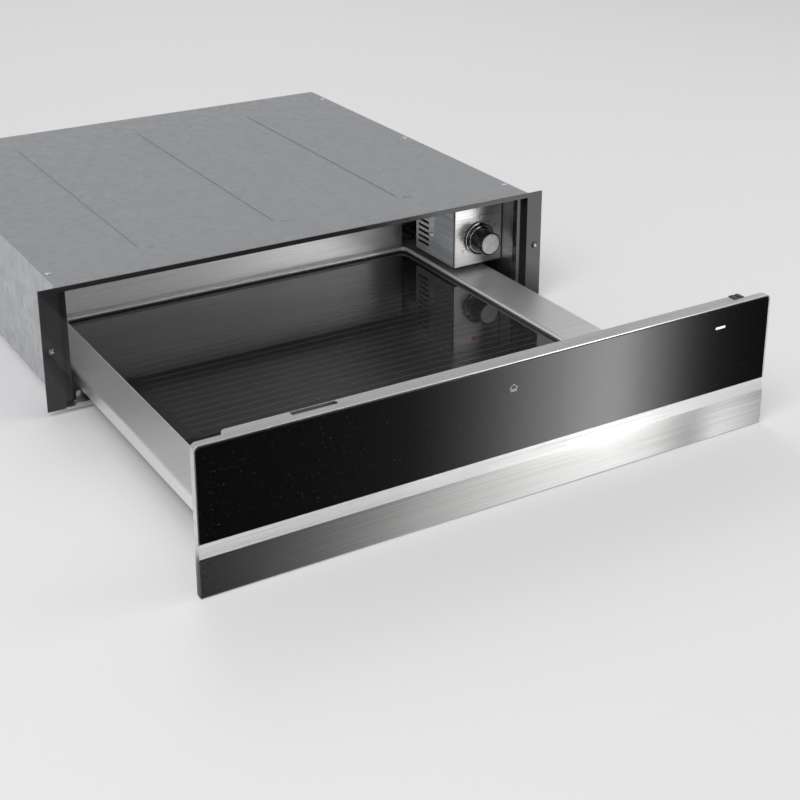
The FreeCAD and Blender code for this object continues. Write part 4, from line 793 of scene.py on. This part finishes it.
class DRAWER_OT_knob(bpy.types.Operator):
    """Knob: bright skirt ring, glossy grip and flat metal disc, with the dial marks round it."""

    bl_idname = "drawer.knob"
    bl_label = "Knob and dial"

    def execute(self, context):
        low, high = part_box("knob_skirt")
        x, z = middle_of(low, high)
        back, radius = high.y, (high.x - low.x) / 2.0
        depth = high.y - low.y
        skirt = [(0.0125, depth), (0.0156, depth), (0.0164, depth * 0.94), (radius - 0.0022, depth * 0.60),
                 (radius - 0.0012, depth * 0.50), (radius - 0.0010, 0.0), (0.0125, 0.0), (0.0125, depth)]
        piece = turned("knob_skirt.cone", skirt, (x, back, z), "-Y", 96)
        stand_in(piece, "knob_skirt", "knob", "Dark chrome")
        rings = []
        for middle, height, half in ((radius - 0.0006, depth * 0.44, 0.0006), (0.0157, depth - 0.0002, 0.0004)):
            round_ = [(middle + half * math.cos(turn), height + half * math.sin(turn))
                      for turn in [math.pi * step / 6.0 for step in range(13)]]
            rings.append(turned("ring", round_, (x, back, z), "-Y", 96))
        finish_piece(joined("knob_rings", rings), "knob", material("Chrome"))
        low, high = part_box("knob_grip")
        tip = low.y
        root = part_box("knob_skirt")[0].y
        length = root - tip
        grip = [(0.0, length - 0.0010), (0.0121, length - 0.0010), (0.0123, length - 0.0002),
                (0.0127, length), (0.0131, length - 0.0002), (0.0136, length - 0.0011),
                (0.0139, length - 0.0030), (0.0144, 0.0022), (0.0145, 0.0008), (0.0150, 0.0),
                (0.0122, 0.0), (0.0115, -0.0040), (0.0, -0.0040)]
        piece = turned("knob_grip.turned", grip, (x, root, z), "-Y", 96)
        stand_in(piece, "knob_grip", "knob", "Knob black")
        disc = [(0.0, 0.0007), (0.0108, 0.0007), (0.0112, 0.0009), (0.0118, 0.0009), (0.0120, 0.0006),
                (0.0120, 0.0), (0.0, 0.0)]
        piece = turned("knob_inlay.disc", disc, (x, tip + 0.0011, z), "-Y", 96)
        groove = block("groove", (x - 0.0005, tip - 0.002, z + 0.0046), (x + 0.0005, tip + 0.0008, z + 0.0104),
                       0.0001)
        cut_out(piece, groove)
        soften(piece, 0.00008, 50.0, 1)
        stand_in(piece, "knob_inlay", "knob", "Inlay metal")
        face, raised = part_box("control_box")[0].y, 0.00003
        marks = []
        for index in range(25):
            turn = math.radians(-120.0 + index * 10.0)
            long = 0.0026 if index % 6 == 0 else 0.0014
            marks.append(slab("mark", (0.0, 0.0, radius + 0.0012 + long / 2.0), (0.0005, 2.0 * raised, long),
                              (0.0, turn, 0.0), (x, face - raised, z)))
        for index in range(5):
            turn = math.radians(-120.0 + index * 60.0)
            clear_selection()
            bpy.ops.object.text_add(location=(0.0, 0.0, 0.0))
            text = bpy.context.object
            text.data.body = str(index)
            text.data.size = 0.0046
            text.data.extrude = raised
            text.data.align_x = "CENTER"
            text.data.align_y = "CENTER"
            pick(text)
            bpy.ops.object.convert(target="MESH")
            digit = named("digit")
            reach = radius + 0.0060
            digit.rotation_euler = (math.pi / 2.0, 0.0, 0.0)
            digit.location = (x + math.sin(turn) * reach, face - raised, z + math.cos(turn) * reach)
            marks.append(settle(digit))
        finish_piece(joined("dial_marks", marks), "housing", material("Print dark"))
        return {"FINISHED"}


class DRAWER_OT_lamp(bpy.types.Operator):
    """Red lamp with its collar."""

    bl_idname = "drawer.lamp"
    bl_label = "Lamp"

    def execute(self, context):
        low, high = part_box("indicator_lamp")
        x, z = middle_of(low, high)
        face = low.y + 0.0018
        dome = [(0.0, 0.00178), (0.0008, 0.0017), (0.0016, 0.0014), (0.0022, 0.0010), (0.0025, 0.0006),
                (0.0026, 0.0), (0.0026, -0.0150), (0.0, -0.0160)]
        piece = turned("indicator_lamp.lens", dome, (x, face, z), "-Y", 48)
        stand_in(piece, "indicator_lamp", "housing", "Red lens")
        collar = [(0.0026, 0.0), (0.0032, 0.0), (0.0032, 0.0003), (0.0030, 0.0006), (0.0027, 0.0006),
                  (0.0026, 0.0004), (0.0026, 0.0)]
        piece = turned("lamp_collar", collar, (x, face, z), "-Y", 48)
        finish_piece(piece, "housing", material("Chrome"))
        pins = [block("pin", (x + dx - 0.0004, high.y - 0.005, z - 0.001), (x + dx + 0.0004, high.y, z + 0.001),
                      0.0001) for dx in (-0.0013, 0.0013)]
        finish_piece(joined("lamp_pins", pins), "housing", material("Zinc plated"))
        return {"FINISHED"}


# Drawer

class DRAWER_OT_tray(bpy.types.Operator):
    """Tray, rear wall, heated glass and the carriers of the drawer."""

    bl_idname = "drawer.tray"
    bl_label = "Tray"

    def execute(self, context):
        dress("drawer", "Tray steel", "brushed_steel", "drawer_tray")
        dress("drawer", "Wall steel", "brushed_steel", "rear_wall")
        dress("drawer", "Heated glass", "plate_glass", "heating_plate", width=0.0003)
        low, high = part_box("heating_plate")
        tray_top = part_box("drawer_tray")[1].z
        # The recess bead is the round rim of the recess; its near-white colour is a painted highlight
        for name, reach, z, radius, finish, slot in (
                ("recess_bead", 0.0011, tray_top - 0.0029, 0.0020, "Bright bead", "brushed_steel"),
                ("plate_joint", -0.0004, high.z + 0.0002, 0.0012, "Black rubber", "black_rubber")):
            path = rounded_path((low.x - reach, low.y - reach), (high.x + reach, high.y + reach),
                                0.0083 + reach, z)
            finish_piece(tube(name, path, radius, True), "drawer", material(finish))
        dress("drawer", "Galvanised", "galvanised", "bottom_pan")
        dress("drawer", "Zinc plated", "zinc", "slide_carriers")
        return {"FINISHED"}


class DRAWER_OT_front(bpy.types.Operator):
    """Drawer front: glass, rim, bar, folded inner front, light bar and lead guide."""

    bl_idname = "drawer.front"
    bl_label = "Drawer front"

    def execute(self, context):
        dress("drawer", "Front glass black", "black_glass", "front_glass", width=0.0003, angle=25.0)
        dress("drawer", "Rim metal", "rim_metal", "front_carrier", width=0.00025)
        dress("drawer", "Bar steel", "bar_steel", "front_bar", width=0.0003, angle=30.0, crease=12.0)
        dress("drawer", "Grey sheet", "grey_sheet", "inner_front", width=0.0002)
        dress("drawer", "White lens", "white_lens", "led_lens", width=0.0002)
        dress("drawer", "Black plastic", "black_plastic", "cable_guide", width=0.0004)
        return {"FINISHED"}


def ribbon(name, points, width, depth, front):
    """A thin raised line through (x, z) points on the face of the front glass."""
    piece = tube(name, [(x, front, z) for x, z in points], width / 2.0)
    for vertex in piece.data.vertices:
        vertex.co.y = front + (vertex.co.y - front) * depth / width
    return piece


class DRAWER_OT_symbol(bpy.types.Operator):
    """Symbol of a warming drawer on the front glass: a roof over rising warmth."""

    bl_idname = "drawer.symbol"
    bl_label = "Symbol"

    def execute(self, context):
        low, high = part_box("front_glass")
        size = sizes().symbol
        x, z, y = 0.0005, 0.1055, low.y
        width, depth = 0.00045, 0.00004
        roof = [(x - size * 0.56, z - size * 0.02), (x, z + size * 0.50), (x + size * 0.56, z - size * 0.02)]
        walls = [(x - size * 0.40, z + size * 0.10), (x - size * 0.40, z - size * 0.12),
                 (x + size * 0.40, z - size * 0.12), (x + size * 0.40, z + size * 0.10)]
        parts = [ribbon("roof", roof, width, depth, y), ribbon("walls", walls, width, depth, y)]
        for row in (0.26, 0.40):
            wave = []
            for i in range(25):
                share = i / 24.0
                wave.append((x + size * 0.46 * (2.0 * share - 1.0),
                             z - size * row + size * 0.035 * math.sin(share * 6.0 * math.pi)))
            parts.append(ribbon("wave", wave, width * 0.8, depth, y))
        finish_piece(joined("front_symbol", parts), "drawer", material("Print white"))
        return {"FINISHED"}


class DRAWER_OT_slides(bpy.types.Operator):
    """Telescopic slides."""

    bl_idname = "drawer.slides"
    bl_label = "Slides"

    def execute(self, context):
        for side in ("left", "right"):
            for node, body in (("slide_outer_", "housing"), ("slide_middle_", "middle_" + side),
                               ("slide_inner_", "drawer")):
                dress(body, "Slide steel", "slide_steel", node + side, width=0.0002)
        return {"FINISHED"}


class DRAWER_OT_gland(bpy.types.Operator):
    """Lead gland with its ribbed collar."""

    bl_idname = "drawer.gland"
    bl_label = "Lead gland"

    def execute(self, context):
        low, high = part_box("lead_gland")
        x, z = middle_of(low, high)
        back = high.y - 0.004
        profile = [(0.0040, 0.0040), (0.0052, 0.0040), (0.0060, 0.0036), (0.0066, 0.0028), (0.0072, 0.0034),
                   (0.0080, 0.0034), (0.0086, 0.0026), (0.0094, 0.0026), (0.0104, 0.0020), (0.0110, 0.0010),
                   (0.0110, 0.0), (0.0075, 0.0), (0.0075, -0.001), (0.0100, -0.001), (0.0100, -0.005),
                   (0.0075, -0.005), (0.0075, -0.0122), (0.0069, -0.0130), (0.0040, -0.0130), (0.0040, 0.0040)]
        mirrored = [(radius, -along) for radius, along in profile]
        piece = turned("lead_gland.ribbed", mirrored, (x, back, z), "-Y", 64)
        stand_in(piece, "lead_gland", "housing", "Black rubber")
        return {"FINISHED"}


class DRAWER_OT_remaining(bpy.types.Operator):
    """Gives every CAD node that still shows its detailed finish, mostly the one named as its slot."""

    bl_idname = "drawer.remaining"
    bl_label = "Remaining parts"

    def execute(self, context):
        own_name = {"zinc": "Zinc plated", "anthracite": "Frame enamel", "brushed_steel": "Box steel",
                    "plate_glass": "Heated glass", "black_glass": "Front glass black"}
        for node in nodes.values():
            for place in node.material_slots:
                slot = place.material.name.split(".")[0]
                place.material = material(own_name.get(slot, slot.replace("_", " ").capitalize()))
        return {"FINISHED"}


# Floor, backdrop, lamps and camera

def levels(tree, share, stops, strength):
    """Brightness along a share from 0 to 1, from a few (share, level) stops."""
    ramp = wire(tree, "ValToRGB", {0: share})
    ramp.color_ramp.interpolation = "B_SPLINE"
    for index, (spot, level) in enumerate(stops):
        stop = ramp.color_ramp.elements[index] if index < 2 else ramp.color_ramp.elements.new(spot)
        stop.position = spot
        stop.color = (level, level, level, 1.0)
    return calc(tree, "MULTIPLY", ramp.outputs["Color"], strength)


def reflection_card(name, low, high, brightness):
    """A card that only shows in reflections, a flat one only from above.

    The function brightness gives its socket from the card's X, Y and Z.
    """
    low, high = Vector(low), Vector(high)
    span = high - low
    upright = span.z > span.y
    clear_selection()
    bpy.ops.mesh.primitive_plane_add(size=1.0, location=(low + high) / 2.0)
    piece = named(name)
    piece.scale = (span.x, span.z if upright else span.y, 1.0)
    piece.rotation_euler = (math.pi / 2.0 if upright else 0.0, 0.0, 0.0)
    settle(piece)
    finish, tree, shader = new_material(name)
    tree.nodes.remove(shader)
    place = wire(tree, "SeparateXYZ", {0: wire(tree, "TexCoord").outputs["Object"]}).outputs
    glow = wire(tree, "Emission", {"Strength": brightness(tree, place["X"], place["Y"], place["Z"])})
    if not upright:
        clear = wire(tree, "BsdfTransparent")
        behind = wire(tree, "NewGeometry").outputs["Backfacing"]
        glow = wire(tree, "MixShader", {0: behind, 1: glow.outputs[0], 2: clear.outputs[0]})
    fill(tree, tree.nodes["Material Output"], {"Surface": glow.outputs[0]})
    piece.data.materials.append(finish)
    piece.visible_camera = False
    piece.visible_diffuse = False
    piece.visible_shadow = False
    piece.visible_transmission = False
    return piece


def floor_glow(tree, x, y, z):
    """What the drawer's front mirrors: dark at the left, bright right of the middle, dark at the right end."""
    eye_x, eye_y, front = camera_spot[0], camera_spot[1], cad_low.y
    mirror_y = 2.0 * front - eye_y
    away = calc(tree, "SUBTRACT", mirror_y, y)
    shrink = calc(tree, "DIVIDE", mirror_y - front, away)
    side = calc(tree, "SUBTRACT", x, eye_x)
    seen = calc(tree, "MULTIPLY_ADD", side, shrink, eye_x)
    share = ranged(tree, seen, -0.30, 0.30, 0.0, 1.0)
    bar = levels(tree, share, [(0.0, 0.0), (1.0, 0.30), (0.25, 0.13), (0.50, 0.72), (0.68, 1.0),
                               (0.78, 0.80), (0.85, 0.20), (0.90, 1.0)], 1.55)
    glass = levels(tree, share, [(0.0, 0.0), (1.0, 0.005), (0.32, 0.01), (0.45, 0.12), (0.58, 0.58),
                                 (0.68, 1.0), (0.74, 0.55), (0.82, 0.10), (0.90, 0.015)], 6.3)
    near = calc(tree, "GREATER_THAN", y, front - 0.062)
    return between(tree, near, glass, bar)


def side_glow(tree, x, y, z):
    """Even light on the floor right of the housing, which its right flange mirrors."""
    return ranged(tree, x, 0.31, 0.36, 0.8, 2.4)


def recess_glow(tree, x, y, z):
    """Light over the heated glass, mirrored by the rear wall: brighter to the right."""
    return levels(tree, ranged(tree, x, -0.22, 0.21, 0.0, 1.0),
                  [(0.0, 0.30), (1.0, 0.12), (0.40, 0.40), (0.72, 1.0), (0.84, 1.0), (0.92, 0.2)], 0.85)


def rail_shade(tree, x, y, z):
    """Dim card over the top rail, which keeps the bright backdrop out of the heated glass."""
    return ranged(tree, z, 0.13, 0.26, 0.34, 0.42)


def room_glow(tree, x, y, z):
    """Soft wall of light behind the viewer: brighter to the right, above all at mid height."""
    near_floor = levels(tree, ranged(tree, x, 0.4, 2.8, 0.0, 1.0),
                        [(0.0, 1.0), (1.0, 0.92), (0.14, 0.62), (0.23, 0.50), (0.38, 0.36), (0.47, 0.40),
                         (0.56, 0.54), (0.64, 0.76), (0.72, 0.97)], 2.0)
    higher = levels(tree, ranged(tree, x, 0.3, 2.3, 0.0, 1.0),
                    [(0.0, 0.08), (1.0, 0.04), (0.30, 0.09), (0.44, 0.32), (0.54, 1.0), (0.64, 1.0),
                     (0.74, 0.15)], 17.0)
    fading = ranged(tree, z, 0.5, 1.0, 1.0, 0.15)
    share = ranged(tree, z, 0.22, 0.50, 0.0, 1.0)
    return between(tree, share, near_floor, calc(tree, "MULTIPLY", higher, fading))


def left_glow(tree, x, y, z):
    """Floor left of the drawer, mirrored by its left side: brighter towards the front."""
    return ranged(tree, y, cad_low.y + 0.06, -0.30, 1.0, 0.62)


def end_shade(tree, x, y, z):
    """Dim floor at the left end of the front, mirrored by the end of its rim."""
    return ranged(tree, x, -0.42, -0.30, 0.10, 0.14)


def choose_edges(piece, test):
    """Selects in edit mode the edges with both ends where the test holds, and no others."""
    bpy.ops.mesh.select_all(action="DESELECT")
    mesh = bmesh.from_edit_mesh(piece.data)
    for edge in mesh.edges:
        if all(test(vertex.co) for vertex in edge.verts):
            edge.select = True
    bmesh.update_edit_mesh(piece.data)


class DRAWER_OT_stage(bpy.types.Operator):
    """Pale floor with its curved backdrop, lamps, reflection cards and the camera."""

    bl_idname = "drawer.stage"
    bl_label = "Stage"

    def execute(self, context):
        scene = context.scene
        stage = scene.drawer_stage
        floor_z = cad_low.z
        clear_selection()
        floor_side, wall_height, sweep = 12.0, 6.0, 1.4
        bpy.ops.mesh.primitive_plane_add(size=floor_side, location=(0.0, -1.2, floor_z))
        floor = settle(named("studio_floor"))
        bpy.ops.object.mode_set(mode="EDIT")
        choose_edges(floor, lambda spot: spot.y > 4.0)
        bpy.ops.mesh.extrude_region_move(TRANSFORM_OT_translate={"value": (0.0, 0.0, wall_height)})
        choose_edges(floor, lambda spot: spot.y > 4.0 and spot.z < 1.0)
        bpy.ops.mesh.bevel(offset=sweep, segments=24, affect="EDGES")
        bpy.ops.object.mode_set(mode="OBJECT")
        bpy.ops.object.shade_smooth()
        finish, tree, shader = new_material("Studio floor")
        mottle = stretched_noise(tree, evenly, 3.0, 2.0)
        pale = blend_colours(tree, ranged(tree, mottle, 0.3, 0.7, 0.0, 0.04), rgba(stage.floor),
                             (0.70, 0.70, 0.71, 1.0))
        fill(tree, shader, {"Base Color": pale, "Roughness": 0.75, "Specular IOR Level": 0.2})
        floor.data.materials.append(finish)
        base_low, base_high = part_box("housing_base")
        plinth = block("studio_plinth", (base_low.x + 0.004, base_low.y + 0.006, floor_z),
                       (base_high.x - 0.004, base_high.y - 0.004, base_low.z - 0.0001), 0.0008)
        plinth.data.materials.append(finish)
        front, mouth, tray_left = cad_low.y, base_low.y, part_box("drawer_tray")[0].x
        low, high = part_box("heating_plate")
        flat, upper, plate = floor_z + 0.0012, floor_z + 0.0014, high.z + 0.0016
        cards = (
            ("floor_card", (-0.9, front - 0.36, flat), (1.2, front + 0.020, flat), floor_glow),
            ("side_card", (0.31, mouth - 0.34, flat), (0.80, mouth - 0.004, flat), side_glow),
            ("left_card", (-0.62, front + 0.06, flat), (tray_left - 0.003, mouth - 0.01, flat), left_glow),
            ("end_card", (-0.42, front - 0.03, upper), (cad_low.x - 0.0005, front + 0.06, upper), end_shade),
            ("recess_card", (low.x + 0.005, mouth + 0.002, plate), (high.x - 0.005, high.y - 0.005, plate),
             recess_glow),
            ("rail_card", (-0.29, mouth + 0.004, cad_high.z - 0.001), (0.29, mouth + 0.004, cad_high.z + 0.075),
             rail_shade),
            ("room_card", (-2.5, front - 2.6, 0.02), (5.0, front - 2.6, 2.8), room_glow))
        for name, corner, far_corner, brightness in cards:
            reflection_card(name, corner, far_corner, brightness)
        world = bpy.data.worlds.new("Studio") if scene.world is None else scene.world
        scene.world = world
        world.use_nodes = True
        tree = world.node_tree
        ground = fill(tree, tree.nodes["Background"], {"Color": (1.0, 1.0, 1.0, 1.0), "Strength": stage.sky})
        seen = wire(tree, "Background", {"Color": (0.86, 0.86, 0.87, 1.0), "Strength": 1.0})
        path = wire(tree, "LightPath")
        either = calc(tree, "MAXIMUM", path.outputs["Is Camera Ray"], path.outputs["Is Glossy Ray"])
        either = calc(tree, "MAXIMUM", either, path.outputs["Is Transmission Ray"])
        choice = wire(tree, "MixShader", {0: either, 1: ground.outputs[0], 2: seen.outputs[0]})
        fill(tree, tree.nodes["World Output"], {"Surface": choice.outputs[0]})
        lamps = (("key_lamp", (-1.6, -1.5, 2.3), 1.6, stage.key), ("side_lamp", (1.9, -1.2, 1.7), 1.2, 10.0),
                 ("back_lamp", (0.6, 1.9, 2.2), 1.4, 14.0))
        for name, spot, size, power in lamps:
            clear_selection()
            bpy.ops.object.light_add(type="AREA", location=spot)
            lamp = bpy.context.object
            lamp.name = name
            lamp.data.size = size
            lamp.data.energy = power
            lamp.visible_glossy = name != "back_lamp"
            aim = Vector((0.0, -0.25, 0.05)) - Vector(spot)
            lamp.rotation_euler = aim.to_track_quat("-Z", "Y").to_euler()
        bpy.ops.object.camera_add(location=camera_spot)
        camera = bpy.context.object
        camera.name = "photo_camera"
        camera.rotation_euler = (math.radians(90.0 - camera_pitch), 0.0, math.radians(-camera_yaw))
        camera.data.lens = stage.lens
        camera.data.sensor_width = 36.0
        camera.data.shift_y = camera_shift
        scene.camera = camera
        scene.view_settings.view_transform = "Standard"
        return {"FINISHED"}


class DRAWER_PT_pieces(bpy.types.Panel):
    """Steps and settings of the warming drawer."""

    bl_label = "Warming drawer"
    bl_space_type = "VIEW_3D"
    bl_region_type = "UI"
    bl_category = "Drawer"

    def draw(self, context):
        for step in steps:
            self.layout.operator(step.bl_idname)
        for group_name in ("drawer_colours", "drawer_sizes", "drawer_stage"):
            settings = getattr(context.scene, group_name)
            for name in settings.bl_rna.properties.keys():
                if name not in ("rna_type", "name"):
                    self.layout.prop(settings, name)


steps = (DRAWER_OT_finishes, DRAWER_OT_housing, DRAWER_OT_screws, DRAWER_OT_control_box, DRAWER_OT_knob,
         DRAWER_OT_lamp, DRAWER_OT_tray, DRAWER_OT_front, DRAWER_OT_symbol, DRAWER_OT_slides,
         DRAWER_OT_gland, DRAWER_OT_remaining, DRAWER_OT_stage)
groups = (DrawerColours, DrawerSizes, DrawerStage)


def register():
    for one in groups + steps + (DRAWER_PT_pieces,):
        bpy.utils.register_class(one)
    bpy.types.Scene.drawer_colours = bpy.props.PointerProperty(type=DrawerColours)
    bpy.types.Scene.drawer_sizes = bpy.props.PointerProperty(type=DrawerSizes)
    bpy.types.Scene.drawer_stage = bpy.props.PointerProperty(type=DrawerStage)


def unregister():
    for name in ("drawer_colours", "drawer_sizes", "drawer_stage"):
        delattr(bpy.types.Scene, name)
    for one in reversed(groups + steps + (DRAWER_PT_pieces,)):
        bpy.utils.unregister_class(one)


def main():
    register()
    for name in ("finishes", "housing", "screws", "control_box", "knob", "lamp", "tray", "front", "symbol",
                 "slides", "gland", "remaining", "stage"):
        getattr(bpy.ops.drawer, name)()


if __name__ == "__main__":
    main()
